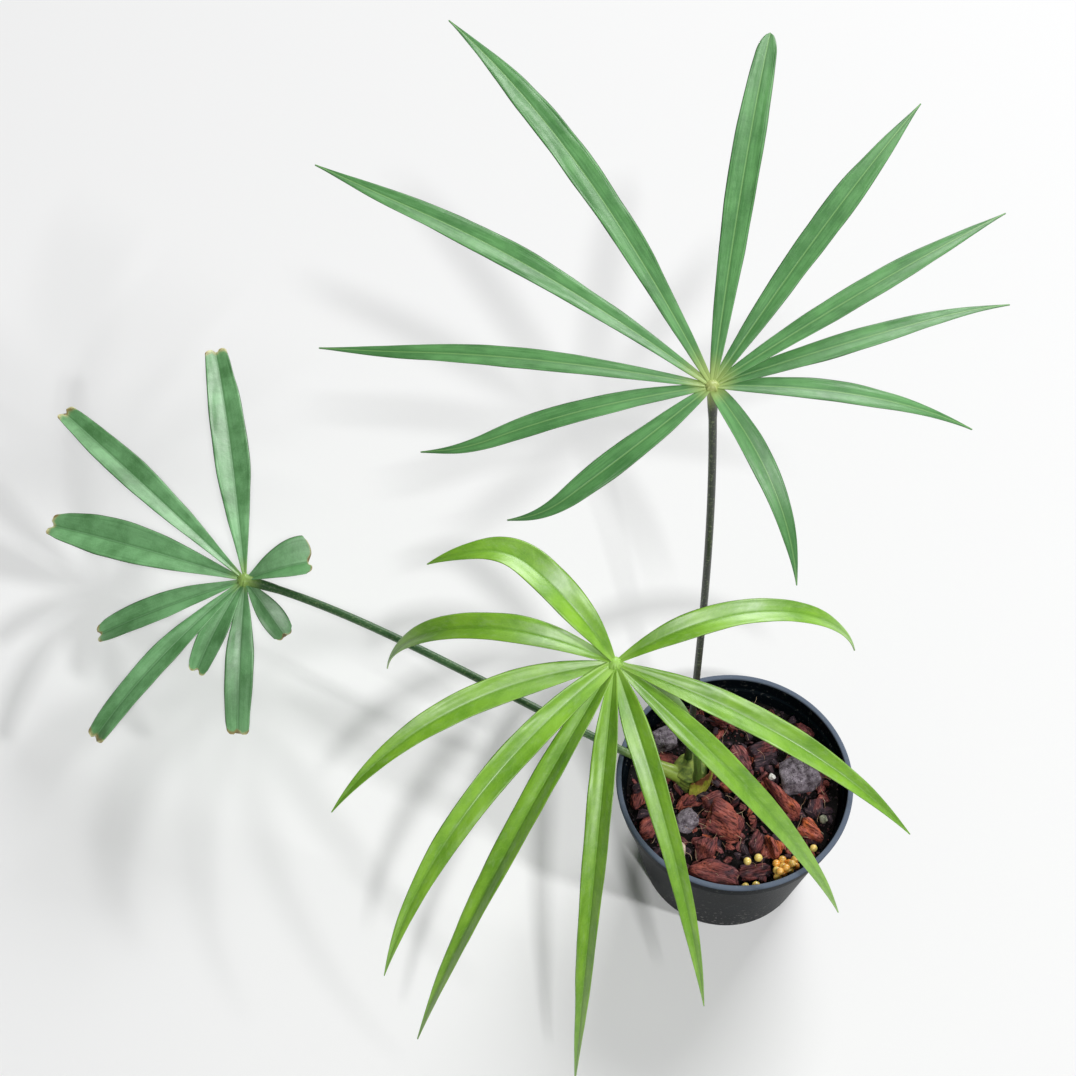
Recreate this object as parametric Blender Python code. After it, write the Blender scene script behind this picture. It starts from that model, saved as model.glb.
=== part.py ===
"""A young anthurium with three palm-like leaves, growing in coarse bark mix in a 10 cm nursery pot.

Metres, +Z up. The origin is the centre of the pot's underside. -Y is the side that the young leaf hangs
over, and the old leaf lies out to -X. Small sizes below are in millimetres times MM.
"""

import math
import random
from collections import namedtuple

import bmesh
import bpy
from mathutils import Euler, Matrix, Vector
from mathutils.noise import noise

MM = 0.001
GAP = 0.3 * MM  # between pieces that touch on the real plant

# The pot
RIM_RADIUS = 50 * MM
BASE_RADIUS = 36 * MM
POT_HEIGHT = 75 * MM
POT_WALL = 1.2 * MM
COLLAR_HEIGHT = 9 * MM
COLLAR_STEP = 1.5 * MM
LIP = 1.1 * MM  # how far the lip stands out from the collar
LIP_HEIGHT = 1.6 * MM
EDGE = 0.6 * MM  # the rounding of the pot's foot and lip
FLOOR = 1.6 * MM
DRAIN_HOLES = 8
DRAIN_RADIUS = 3.5 * MM
DRAIN_CIRCLE = 25 * MM
POT_SIDES = 48

# The mix
SOIL_LEVEL = 61.5 * MM
SOIL_WAVE = 1.6 * MM
SOIL_WAVES = 90  # waves of its surface in a metre
SOIL_RINGS = 5
SMALL_CHUNKS = 20
SMALL_SPREAD = 42 * MM  # how far out the small chunks lie
BLUNT = 0.55  # 0 gives round stones and 1 gives square ones

# The stem
STEM_X = -18 * MM
STEM_Y = 7 * MM
STEM_FOOT = 48 * MM
STEM_TOP = 73.5 * MM
STEM_RADIUS = 7.6 * MM
STEM_SIDES = 14

# The bract round the stem, in degrees round it, on the side of the young leaf
BRACT_FIRST = -95
BRACT_LAST = 40
BRACT_FOOT = 60 * MM
BRACT_TOP = 72 * MM
BRACT_CREST = 4 * MM
BRACT = 0.8 * MM

# Blades
BLADE = 0.75 * MM  # thickness, upright through the blade
STALK = 1.3 * MM  # half the breadth of a leaflet where it leaves the hub
STATIONS = 12

# heading: degrees from +X, seen from above. rise: upward tilt at the hub. droop: how far the tilt falls
# by the tip. sweep: how far the heading turns by the tip. roll: turn about its own length, that lifts the
# left edge. fold: how far each half is raised from flat. belly: the share of the length where it is
# broadest. end: 0 for a grown tip, or the share of the breadth left where it was cut short. hook: how far
# the heading turns again past the bend. fuller: 1 for a leaflet that broadens at once from the hub.
LEAFLET_FIELDS = "heading length breadth rise droop sweep roll fold belly end hook fuller"
Leaflet = namedtuple("Leaflet", LEAFLET_FIELDS, defaults=(0, 0))
# shoulder: how slowly a leaflet broadens from its stalk. tip: 0.6 is blunt, and over 1 is drawn out.
# bend: the share of the length where the hook starts.
Outline = namedtuple("Outline", "shoulder tip bend")
BEND_LENGTH = 0.3  # the share of the length that the hook takes

UPPER_HUB = Vector((-25, 25, 329)) * MM
UPPER_HUB_RADIUS = 3.0 * MM
UPPER_OUTLINE = Outline(0.8, 1.3, 0.70)
UPPER_LEAFLETS = [
    Leaflet(118, 168, 12.0, 17, 18, 12, 0, 8, 0.60, 0),
    Leaflet(145, 161, 11.0, 12, 18, 10, 0, 8, 0.58, 0, hook=-8),
    Leaflet(171, 137, 8.5, 5, 24, -1, 0, 8, 0.52, 0, hook=-8),
    Leaflet(190, 102, 9.0, 0, 26, 5, 0, 8, 0.50, 0, hook=-30),
    Leaflet(221, 85, 10.0, -4, 28, -18, 0, 8, 0.50, 0, hook=-38),
    Leaflet(307, 76, 9.0, -14, 50, -22, 0, 8, 0.34, 0, fuller=1),
    Leaflet(358, 94, 8.6, 4, 40, 0, 0, 8, 0.40, 0),
    Leaflet(17, 111, 8.5, 8, 24, 9, 0, 8, 0.40, 0, hook=-6),
    Leaflet(31, 123, 9.0, 13, 20, 4, 0, 8, 0.48, 0),
    Leaflet(54, 130, 10.5, 18, 18, 0, 0, 8, 0.56, 0),
    Leaflet(81, 138, 10.8, 19, 18, -3, 0, 8, 0.62, 0.55),
]
YOUNG_HUB = Vector((-54.2, -10.2, 199)) * MM
YOUNG_HUB_RADIUS = 3.2 * MM
YOUNG_OUTLINE = Outline(1.0, 1.1, 0.50)
YOUNG_LEAFLETS = [
    Leaflet(140, 92, 14.5, 49, 86, 6, 0, 22, 0.40, 0, hook=38),
    Leaflet(165, 113, 12.5, 24, 107, 13, -6, 22, 0.36, 0),
    Leaflet(195, 124, 12.0, 11, 50, 28, -14, 22, 0.34, 0),
    Leaflet(222, 154, 12.0, 2, 63, 20, -20, 22, 0.32, 0, fuller=1),
    Leaflet(237, 174, 12.0, -19, 45, -5, 15, 22, 0.30, 0, fuller=1),
    Leaflet(264, 173, 11.4, -18, 54, -2, 22, 22, 0.24, 0),
    Leaflet(290, 143, 11.4, -20, 45, -2, 20, 22, 0.24, 0),
    Leaflet(326, 156, 12.4, -26, 44, 8, 22, 22, 0.30, 0),
    Leaflet(341, 136, 12.8, -5, 41, -9, 14, 22, 0.36, 0),
    Leaflet(20, 118, 11.4, 28, 104, -22, 8, 22, 0.32, 0),
]
OLD_HUB = Vector((-209.8, 85.5, 95)) * MM
OLD_HUB_RADIUS = 3.4 * MM
OLD_OUTLINE = Outline(1.2, 1.1, 0.70)
OLD_LEAFLETS = [
    Leaflet(98, 123, 16.5, 8, 16, 5, 0, 12, 0.54, 0.60),
    Leaflet(136, 126, 15.0, 6, 16, -3, 0, 14, 0.60, 0.62),
    Leaflet(160, 99, 19.5, 0, 18, -4, -6, 14, 0.62, 0.55),
    Leaflet(194, 73, 13.5, -10, 24, -6, -6, 14, 0.60, 0.60),
    Leaflet(222, 96, 12.5, -8, 30, 2, 0, 14, 0.55, 0.75),
    Leaflet(238, 46, 12.5, -14, 26, 4, 0, 12, 0.60, 0.70),
    Leaflet(267, 68, 12.5, -18, 30, 0, 0, 12, 0.55, 0.80),
    Leaflet(308, 31, 11.8, -12, 26, 4, 0, 12, 0.70, 0.70),
    Leaflet(12, 31, 25.0, 18, 16, -4, 0, 38, 0.88, 0.85),
]
NOTCH = 1.5 * MM  # how far a cut leaflet is nicked at its midrib

# Each petiole is one Bezier curve from the stem to the hub, with a thicker sheath at its foot.
Petiole = namedtuple("Petiole", "route radius sheath_radius sheath_length rings")
UPPER_ROUTE = ((-19, 11, 65), (-20, 14, 150), (-18, 20, 240), (-25, 25, 329))
YOUNG_ROUTE = ((-15, 2, 65), (-18, -1, 118), (-22, -6, 168), (-54.2, -10.2, 198))
OLD_ROUTE = ((-22, 5, 68.5), (-75, 15, 92), (-150, 70, 92), (-209.8, 85.5, 95))
UPPER_PETIOLE = Petiole(UPPER_ROUTE, 1.45, 2.2, 14, 16)
YOUNG_PETIOLE = Petiole(YOUNG_ROUTE, 1.6, 2.4, 14, 16)
OLD_PETIOLE = Petiole(OLD_ROUTE, 1.75, 3.6, 22, 20)
PETIOLE_SIDES = 8
KNEE_LENGTH = 16 * MM  # the swollen joint under the hub
KNEE_SWELL = 0.35  # how much thicker than the petiole it is

# What lies on the mix: centre x, y, z, length, breadth, height, heading, in millimetres and degrees
BARK = [
    (-4, -15, 66, 19, 16, 10, -30),
    (-13, -26, 65, 14, 11, 10, 70),
    (-10, -38, 65, 24, 11, 9, -14),
    (7, -37, 64, 17, 8, 8, 8),
    (16, -26, 66, 13, 9, 9, -65),
    (32, -19, 65, 13, 9, 9, -35),
    (21, -3, 65, 25, 8, 9, -57),
    (33, 30, 63, 12, 9, 8, -30),
    (14, 17, 64, 14, 12, 9, 20),
    (-37, -18, 63, 11, 10, 8, 40),
    (-27, 15, 62, 12, 8, 7, -10),
    (3, 14, 64, 14, 9, 8, -60),
    (-9, -4, 63, 10, 8, 8, 30),
    (9, -24, 64, 12, 7, 8, 65),
    (-2, 32, 62, 16, 6, 8, -35),
    (7, 37, 62, 14, 6, 7, -15),
    (-41, -4, 62, 10, 7, 7, 75),
    (36, 6, 62, 12, 8, 8, 85),
    (-20, 34, 62, 15, 8, 8, 35),
    (22, 28, 62, 15, 7, 8, -5),
]
# name: centre x, y, z, length, breadth, height, heading, number of points
STONES = {
    "lava_rock_right": (28, 6, 67, 20, 17, 13, 15, 26),
    "lava_rock_left": (-29, 23.5, 65.5, 14, 11, 10, 20, 22),
    "lava_rock_front": (-20, -14, 64.5, 12, 10, 9, 50, 22),
    "pebble_cream": (-24, -28, 65, 11, 8, 8, 80, 30),
    "pebble_green": (38, -13, 63.6, 5.5, 4.6, 4.2, 30, 22),
    "perlite_back": (-9, 23, 65.5, 4.6, 4.2, 4, 0, 16),
    "perlite_middle": (16.5, 4.5, 68, 4, 3.6, 3.4, 40, 16),
}
PRILL_RADIUS = 1.75 * MM
PRILL_PITCH = 3.12 * MM
PRILL_HEAP = Vector((20.5, -35, 66.4)) * MM
PRILL_HEADING = 32  # degrees, along the lip
PRILL_ROWS = ((-2, 1, -1), (-1.5, 1.5, 0), (-1, 0, 1))  # first and last bead in pitches, and the row
PRILLS_ON_TOP = ((-1.5, -0.577), (-0.5, -0.577), (0.5, -0.577))  # in the hollows between rows


def material(name, colour, roughness, metallic=0.0):
    made = bpy.data.materials.new(name)
    made.use_nodes = True
    shader = made.node_tree.nodes["Principled BSDF"]
    shader.inputs["Base Color"].default_value = (*colour, 1)
    shader.inputs["Roughness"].default_value = roughness
    shader.inputs["Metallic"].default_value = metallic
    return made


def add_object(name, vertices, faces, finish=None):
    mesh = bpy.data.meshes.new(name)
    mesh.from_pydata([tuple(v) for v in vertices], [], faces)
    mesh.update()
    made = bpy.data.objects.new(name, mesh)
    bpy.context.scene.collection.objects.link(made)
    if finish:
        mesh.materials.append(finish)
    return made


def as_cutter(thing):
    thing.hide_render = True
    thing.display_type = "WIRE"
    return thing


def bake(thing):
    """Turns an object and its modifiers into a plain mesh."""
    bpy.context.view_layer.update()
    evaluated = thing.evaluated_get(bpy.context.evaluated_depsgraph_get())
    mesh = bpy.data.meshes.new_from_object(evaluated)
    thing.modifiers.clear()
    thing.data = mesh


def combine(thing, others, operation="UNION"):
    """One Boolean of thing with a group of objects, applied. The others are used up."""
    group = bpy.data.collections.new(thing.name + "_parts")
    bpy.context.scene.collection.children.link(group)
    for other in others:
        bpy.context.scene.collection.objects.unlink(other)
        group.objects.link(other)
    join = thing.modifiers.new(operation, "BOOLEAN")
    join.operation = operation
    join.operand_type = "COLLECTION"
    join.collection = group
    join.solver = "EXACT"
    bake(thing)
    for other in list(group.objects):
        bpy.data.objects.remove(other)
    bpy.data.collections.remove(group)
    return thing


def keep_largest(thing):
    """Drops the loose scraps that a cut leaves behind."""
    work = bmesh.new()
    work.from_mesh(thing.data)
    unseen = set(work.verts)
    islands = []
    while unseen:
        island = {unseen.pop()}
        waiting = list(island)
        while waiting:
            vertex = waiting.pop()
            for edge in vertex.link_edges:
                neighbour = edge.other_vert(vertex)
                if neighbour in unseen:
                    unseen.discard(neighbour)
                    island.add(neighbour)
                    waiting.append(neighbour)
        islands.append(island)
    islands.sort(key=len)
    scraps = [vertex for island in islands[:-1] for vertex in island]
    bmesh.ops.delete(work, geom=scraps, context="VERTS")
    work.to_mesh(thing.data)
    work.free()


def shade(thing, sharp_degrees=40):
    thing.data.shade_smooth()
    thing.data.set_sharp_from_angle(angle=math.radians(sharp_degrees))


def turned(name, profile, sides, finish=None):
    """Turns a closed outline of (radius, height) points, which runs anticlockwise with the axis on its
    left, about Z. A radius of 0 makes one point on the axis."""
    vertices, rings = [], []
    for radius, height in profile:
        if radius == 0:
            rings.append([len(vertices)] * sides)
            vertices.append(Vector((0, 0, height)))
            continue
        rings.append(range(len(vertices), len(vertices) + sides))
        for k in range(sides):
            angle = 2 * math.pi * k / sides
            vertices.append(Vector((radius * math.cos(angle), radius * math.sin(angle), height)))
    faces = []
    for i, ring in enumerate(rings):
        above = rings[(i + 1) % len(rings)]
        for k in range(sides):
            n = (k + 1) % sides
            corners = []
            for corner in (ring[k], ring[n], above[n], above[k]):
                if corner not in corners:
                    corners.append(corner)
            if len(corners) > 2:
                faces.append(corners)
    return add_object(name, vertices, faces, finish)


def cavity_radius(height, clearance):
    """Inside radius of the pot's wall, less a clearance."""
    share = min(height / (POT_HEIGHT - COLLAR_HEIGHT), 1)
    top = RIM_RADIUS - LIP - COLLAR_STEP
    return BASE_RADIUS + (top - BASE_RADIUS) * share - POT_WALL - clearance


def make_pot():
    collar_foot = POT_HEIGHT - COLLAR_HEIGHT
    wall_top = RIM_RADIUS - LIP - COLLAR_STEP
    collar = RIM_RADIUS - LIP
    draft = 0.3 * MM  # the collar narrows a little towards its foot
    profile = [
        (BASE_RADIUS - EDGE, 0),
        (BASE_RADIUS, EDGE),
        (wall_top, collar_foot),
        (collar - draft, collar_foot + EDGE),
        (collar, POT_HEIGHT - LIP_HEIGHT - EDGE),
        (RIM_RADIUS, POT_HEIGHT - LIP_HEIGHT),
        (RIM_RADIUS, POT_HEIGHT - EDGE),
        (RIM_RADIUS - EDGE, POT_HEIGHT),
        (collar - POT_WALL + EDGE / 2, POT_HEIGHT),
        (collar - POT_WALL, POT_HEIGHT - EDGE / 2),
        (collar - draft - POT_WALL, collar_foot + POT_WALL),
        (wall_top - POT_WALL, collar_foot),
        (cavity_radius(FLOOR, 0), FLOOR),
        (0, FLOOR),
        (0, 0),
    ]
    pot = turned("pot", profile, POT_SIDES, material("pot_plastic", (0.02, 0.022, 0.026), 0.42))
    holes = []
    for k in range(DRAIN_HOLES):
        angle = 2 * math.pi * k / DRAIN_HOLES
        outline = [(0, -FLOOR), (DRAIN_RADIUS, -FLOOR), (DRAIN_RADIUS, 2 * FLOOR), (0, 2 * FLOOR)]
        hole = turned("drain_hole", outline, 12)
        centre = Vector((math.cos(angle), math.sin(angle), 0)) * DRAIN_CIRCLE
        hole.data.transform(Matrix.Translation(centre))
        holes.append(as_cutter(hole))
    combine(pot, holes, "DIFFERENCE")
    shade(pot)


def lump(name, size, points, draw, finish=None):
    """The hull of random points near the skin of a box with blunt corners: a stone or a chip of bark."""
    work = bmesh.new()
    for _ in range(points):
        direction = Vector([draw.uniform(-1, 1) for _ in range(3)])
        while direction.length < 0.2:
            direction = Vector([draw.uniform(-1, 1) for _ in range(3)])
        reach = max(abs(c) for c in direction) * BLUNT + direction.length * (1 - BLUNT)
        work.verts.new([c / reach * s / 2 for c, s in zip(direction, size)])
    bmesh.ops.convex_hull(work, input=work.verts)
    loose = [v for v in work.verts if not v.link_faces]
    bmesh.ops.delete(work, geom=loose, context="VERTS")
    bmesh.ops.triangulate(work, faces=work.faces)
    bmesh.ops.recalc_face_normals(work, faces=work.faces)
    mesh = bpy.data.meshes.new(name)
    work.to_mesh(mesh)
    work.free()
    made = bpy.data.objects.new(name, mesh)
    bpy.context.scene.collection.objects.link(made)
    if finish:
        mesh.materials.append(finish)
    return made


def place(thing, centre, heading, pitch=0.0, roll=0.0):
    turn = Euler((math.radians(roll), math.radians(pitch), math.radians(heading))).to_matrix().to_4x4()
    turn.translation = centre
    thing.data.transform(turn)
    return thing


def pocket(thing, clearance):
    """A copy of a solid, a little larger all round, to cut its seat with."""
    mesh = thing.data.copy()
    directions = [v.normal.copy() for v in mesh.vertices]
    for vertex, direction in zip(mesh.vertices, directions):
        vertex.co += direction * clearance
    made = bpy.data.objects.new(thing.name + "_pocket", mesh)
    bpy.context.scene.collection.objects.link(made)
    return as_cutter(made)


def make_stones():
    finishes = {
        "lava": material("lava_rock", (0.10, 0.085, 0.10), 0.9),
        "cream": material("cream_stone", (0.48, 0.42, 0.34), 0.8),
        "green": material("green_stone", (0.28, 0.30, 0.22), 0.7),
        "perlite": material("perlite", (0.85, 0.84, 0.80), 0.9),
    }
    kinds = {"lava_rock": "lava", "pebble_cream": "cream", "pebble_green": "green", "perlite": "perlite"}
    draw = random.Random(31)
    stones = []
    for name, (x, y, z, length, breadth, height, heading, points) in STONES.items():
        finish = next(finishes[kind] for start, kind in kinds.items() if name.startswith(start))
        stone = lump(name, Vector((length, breadth, height)) * MM, points, draw, finish)
        pitch, roll = draw.uniform(-12, 12), draw.uniform(-12, 12)
        stones.append(place(stone, Vector((x, y, z)) * MM, heading, pitch, roll))
    return stones


def make_prills():
    """A heap of round beads, a little sunk into each other, two deep."""
    turn = Euler((0, 0, math.radians(PRILL_HEADING))).to_matrix()
    places = []
    for first, last, row in PRILL_ROWS:
        for k in range(int(last - first) + 1):
            places.append(Vector((first + k, row * math.sqrt(0.75), 0)))
    for along, across in PRILLS_ON_TOP:
        places.append(Vector((along, across, math.sqrt(2 / 3))))
    beads = []
    for spot in places:
        work = bmesh.new()
        bmesh.ops.create_icosphere(work, subdivisions=2, radius=PRILL_RADIUS)
        mesh = bpy.data.meshes.new("prill")
        work.to_mesh(mesh)
        work.free()
        bead = bpy.data.objects.new("prill", mesh)
        bpy.context.scene.collection.objects.link(bead)
        beads.append(place(bead, PRILL_HEAP + turn @ (spot * PRILL_PITCH), 37 * len(beads)))
    heap = beads[0]
    heap.name = "fertiliser_prills"
    heap.data.materials.append(material("prill_coat", (0.80, 0.52, 0.10), 0.35))
    combine(heap, beads[1:])
    shade(heap, 60)
    return heap


def hull_of(thing, clearance):
    """The outline of a heap drawn tight round it and grown by a clearance."""
    work = bmesh.new()
    for vertex in thing.data.vertices:
        work.verts.new(vertex.co)
    bmesh.ops.convex_hull(work, input=work.verts)
    bmesh.ops.delete(work, geom=[v for v in work.verts if not v.link_faces], context="VERTS")
    bmesh.ops.recalc_face_normals(work, faces=work.faces)
    mesh = bpy.data.meshes.new(thing.name + "_hull")
    work.to_mesh(mesh)
    work.free()
    hull = bpy.data.objects.new(mesh.name, mesh)
    bpy.context.scene.collection.objects.link(hull)
    grown = pocket(hull, clearance)
    bpy.data.objects.remove(hull)
    return grown


def bezier(points, share):
    a, b, c, d = points
    rest = 1 - share
    return a * rest**3 + b * 3 * rest**2 * share + c * 3 * rest * share**2 + d * share**3


def tube(name, centres, radii, sides, finish=None):
    """A round rod with closed ends through a line of centres."""
    vertices, faces = [], []
    across = Vector((1, 0, 0))
    for i, centre in enumerate(centres):
        along = (centres[min(i + 1, len(centres) - 1)] - centres[max(i - 1, 0)]).normalized()
        across = (across - along * across.dot(along)).normalized()
        over = along.cross(across)
        for k in range(sides):
            angle = 2 * math.pi * k / sides
            vertices.append(centre + (across * math.cos(angle) + over * math.sin(angle)) * radii[i])
    for i in range(len(centres) - 1):
        for k in range(sides):
            n = (k + 1) % sides
            faces.append((i * sides + k, i * sides + n, (i + 1) * sides + n, (i + 1) * sides + k))
    faces.append(tuple(reversed(range(sides))))
    faces.append(tuple(range((len(centres) - 1) * sides, len(centres) * sides)))
    return add_object(name, vertices, faces, finish)


def petiole(name, stalk, grow=0.0):
    """The leaf's stalk: a thicker sheath at the stem, a slim rod, and a swollen joint under the hub."""
    route = [Vector(point) * MM for point in stalk.route]
    pieces = 40
    steps = [bezier(route, (i + 1) / pieces) - bezier(route, i / pieces) for i in range(pieces)]
    length = sum(step.length for step in steps)
    centres, radii = [], []
    for i in range(stalk.rings):
        share = i / (stalk.rings - 1)
        share = share * share * (3 - 2 * share)  # closer rings at both ends
        centres.append(bezier(route, share))
        sheath = max(0.0, 1 - share * length / (stalk.sheath_length * MM)) ** 0.7
        knee = max(0.0, 1 - (1 - share) * length / KNEE_LENGTH) ** 0.5
        widened = (stalk.sheath_radius - stalk.radius) * sheath + stalk.radius * KNEE_SWELL * knee
        radii.append((stalk.radius + widened) * MM + grow)
    return tube(name, centres, radii, PETIOLE_SIDES)


def half_breadth(leaflet, outline, share):
    """Half the breadth of a flat leaflet at a share of its length."""
    shoulder = outline.shoulder * (1 - 0.5 * leaflet.fuller)
    swell = math.sin(math.pi / 2 * min(share / leaflet.belly, 1)) ** shoulder
    past = max(0.0, (share - leaflet.belly) / (1 - leaflet.belly))
    taper = 1 - (1 - leaflet.end) * past**2 if leaflet.end else (1 - past**2) ** outline.tip
    stalk = STALK * (1 - 0.7 * share)
    return stalk + (leaflet.breadth * MM / 2 - stalk) * swell * taper


def bearing(leaflet, outline, share):
    """Unit vectors along a leaflet, to its left and up out of its face, at a share of its length."""
    bent = min(max((share - outline.bend) / BEND_LENGTH, 0), 1)
    hook = leaflet.hook * bent * bent * (3 - 2 * bent)
    heading = math.radians(leaflet.heading + leaflet.sweep * share**1.5 + hook)
    tilt = math.radians(leaflet.rise - leaflet.droop * share**1.3)
    roll = math.radians(leaflet.roll)
    level = math.cos(tilt)
    along = Vector((level * math.cos(heading), level * math.sin(heading), math.sin(tilt)))
    left = Vector((-math.sin(heading), math.cos(heading), 0))
    over = along.cross(left)
    rolled_left = left * math.cos(roll) + over * math.sin(roll)
    return along, rolled_left, along.cross(rolled_left)


def leaflet_solid(hub, leaflet, outline):
    """A thin closed blade, folded along its midrib, that arches out from the hub."""
    vertices, faces = [], []
    fold = math.radians(leaflet.fold)
    here = hub.copy()
    steps = 4  # finer steps of the arch between two stations
    for i in range(STATIONS + 1):
        for step in range(steps if i else 0):
            along = bearing(leaflet, outline, (i - 1 + (step + 0.5) / steps) / STATIONS)[0]
            here += along * leaflet.length * MM / STATIONS / steps
        share = i / STATIONS
        along, left, over = bearing(leaflet, outline, share)
        half = half_breadth(leaflet, outline, share)
        nick = along * (NOTCH if leaflet.end and i == STATIONS else 0)
        out, up = left * half * math.cos(fold), over * half * math.sin(fold)
        for face in (0.5, -0.5):
            centre = here + over * (face * BLADE)
            vertices += [centre + out + up, centre - nick, centre - out + up]
    row = 6
    for i in range(STATIONS):
        a, b = i * row, (i + 1) * row
        for k in (0, 1):
            # Both faces are split along the same diagonal, so they never cross.
            top = (a + k, a + k + 1, b + k + 1, b + k)
            faces += [(top[0], top[2], top[1]), (top[0], top[3], top[2])]
            low = [corner + 3 for corner in top]
            faces += [(low[0], low[1], low[2]), (low[0], low[2], low[3])]
        faces.append((a, a + 3, b + 3, b))
        faces.append((a + 2, b + 2, b + 5, a + 5))
    last = STATIONS * row
    faces += [(0, 1, 4, 3), (1, 2, 5, 4)]
    faces += [(last, last + 3, last + 4, last + 1), (last + 1, last + 4, last + 5, last + 2)]
    return add_object("leaflet", vertices, faces)


def make_leaf(name, hub, hub_radius, leaflets, outline, stalk, finish):
    """Petiole, hub and leaflets, joined in one solid."""
    work = bmesh.new()
    bmesh.ops.create_icosphere(work, subdivisions=2, radius=hub_radius)
    mesh = bpy.data.meshes.new(name)
    work.to_mesh(mesh)
    work.free()
    leaf = bpy.data.objects.new(name, mesh)
    bpy.context.scene.collection.objects.link(leaf)
    place(leaf, hub, 11)
    leaf.data.materials.append(finish)
    blades = [leaflet_solid(hub, leaflet, outline) for leaflet in leaflets]
    combine(leaf, [petiole("petiole", stalk)] + blades)
    shade(leaf, 50)


def make_leaves():
    mature = material("mature_blade", (0.06, 0.24, 0.08), 0.45)
    bright = material("young_blade", (0.20, 0.42, 0.04), 0.4)
    dark = material("old_blade", (0.04, 0.17, 0.06), 0.4)
    upper = (UPPER_HUB, UPPER_HUB_RADIUS, UPPER_LEAFLETS, UPPER_OUTLINE, UPPER_PETIOLE)
    young = (YOUNG_HUB, YOUNG_HUB_RADIUS, YOUNG_LEAFLETS, YOUNG_OUTLINE, YOUNG_PETIOLE)
    old = (OLD_HUB, OLD_HUB_RADIUS, OLD_LEAFLETS, OLD_OUTLINE, OLD_PETIOLE)
    make_leaf("leaf_upper", *upper, mature)
    make_leaf("leaf_young", *young, bright)
    make_leaf("leaf_old", *old, dark)


def petiole_sockets():
    """The petioles' feet, a gap larger, that the stem and the mix are cut with."""
    stalks = (UPPER_PETIOLE, YOUNG_PETIOLE, OLD_PETIOLE)
    return [as_cutter(petiole("socket", stalk, GAP)) for stalk in stalks]


def stem_profile(grow=0.0):
    """Foot to top, with the crown's swelling just above the mix."""
    heights = (STEM_FOOT, 56 * MM, 63 * MM, 68 * MM, 72 * MM, STEM_TOP)
    shares = (0.55, 0.8, 0.92, 1.0, 0.9, 0.55)
    outline = [(0, STEM_FOOT - grow)]
    outline += [(STEM_RADIUS * share + grow, height) for share, height in zip(shares, heights)]
    outline.append((0, STEM_TOP + grow))
    return outline


def make_stem():
    stem = turned("stem", stem_profile(), STEM_SIDES, material("stem_skin", (0.22, 0.30, 0.07), 0.6))
    return place(stem, Vector((STEM_X, STEM_Y, 0)), 0)


def make_cataphyll():
    """A thin bract that stands half round the stem, its top edge drying back."""
    columns, rows = 9, 3
    bow = 0.9 * MM
    vertices, faces = [], []
    for side in (0, 1):
        for j in range(rows + 1):
            for k in range(columns + 1):
                share = k / columns
                angle = math.radians(BRACT_FIRST + (BRACT_LAST - BRACT_FIRST) * share)
                crest = math.sin(math.pi * share) + 0.3 * math.sin(9 * share)
                top = BRACT_TOP + BRACT_CREST * crest
                height = BRACT_FOOT + (top - BRACT_FOOT) * j / rows
                bulge = bow * math.sin(math.pi * j / rows)
                radius = STEM_RADIUS + GAP * 1.5 + bulge + side * BRACT
                x, y = STEM_X + radius * math.cos(angle), STEM_Y + radius * math.sin(angle)
                vertices.append(Vector((x, y, height)))
    across = columns + 1
    outer = across * (rows + 1)
    for j in range(rows):
        for k in range(columns):
            a = j * across + k
            b = a + across
            faces += [(a, b, b + 1), (a, b + 1, a + 1)]
            faces += [(outer + a, outer + b + 1, outer + b), (outer + a, outer + a + 1, outer + b + 1)]
    for k in range(columns):
        top = rows * across + k
        faces.append((k, k + 1, outer + k + 1, outer + k))
        faces.append((top, outer + top, outer + top + 1, top + 1))
    for j in range(rows):
        a = j * across
        b = a + across
        faces.append((a, outer + a, outer + b, b))
        faces.append((a + columns, b + columns, outer + b + columns, outer + a + columns))
    made = add_object("cataphyll", vertices, faces, material("dry_bract", (0.42, 0.38, 0.10), 0.7))
    shade(made)
    return made


def make_chunks(draw):
    """The chips of bark, each larger one where it lies and the small ones spread over the rest, cut off
    where they would reach into the pot's wall."""
    chunks = []
    for x, y, z, length, breadth, height, heading in BARK:
        chip = lump("bark", Vector((length, breadth, height)) * MM, 16, draw)
        pitch, roll = draw.uniform(-10, 10), draw.uniform(-18, 18)
        chunks.append(place(chip, Vector((x, y, z)) * MM, heading, pitch, roll))
    for k in range(SMALL_CHUNKS):
        reach = SMALL_SPREAD * math.sqrt((k + 0.5) / SMALL_CHUNKS)
        angle = k * math.pi * (3 - math.sqrt(5))
        size = Vector((draw.uniform(7, 11), draw.uniform(5, 8), draw.uniform(6, 8))) * MM
        chip = lump("bark", size, 12, draw)
        height = SOIL_LEVEL + draw.uniform(0, 1.2) * MM
        heading, pitch, roll = draw.uniform(0, 360), draw.uniform(-20, 20), draw.uniform(-20, 20)
        centre = Vector((reach * math.cos(angle), reach * math.sin(angle), height))
        chunks.append(place(chip, centre, heading, pitch, roll))
    combine(chunks[0], chunks[1:])
    room = cavity_radius(SOIL_LEVEL - 8 * MM, 2 * GAP)
    outline = [(0, 0), (room, 0), (room, 2 * POT_HEIGHT), (0, 2 * POT_HEIGHT)]
    return combine(chunks[0], [as_cutter(turned("room", outline, POT_SIDES // 2))], "INTERSECT")


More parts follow.
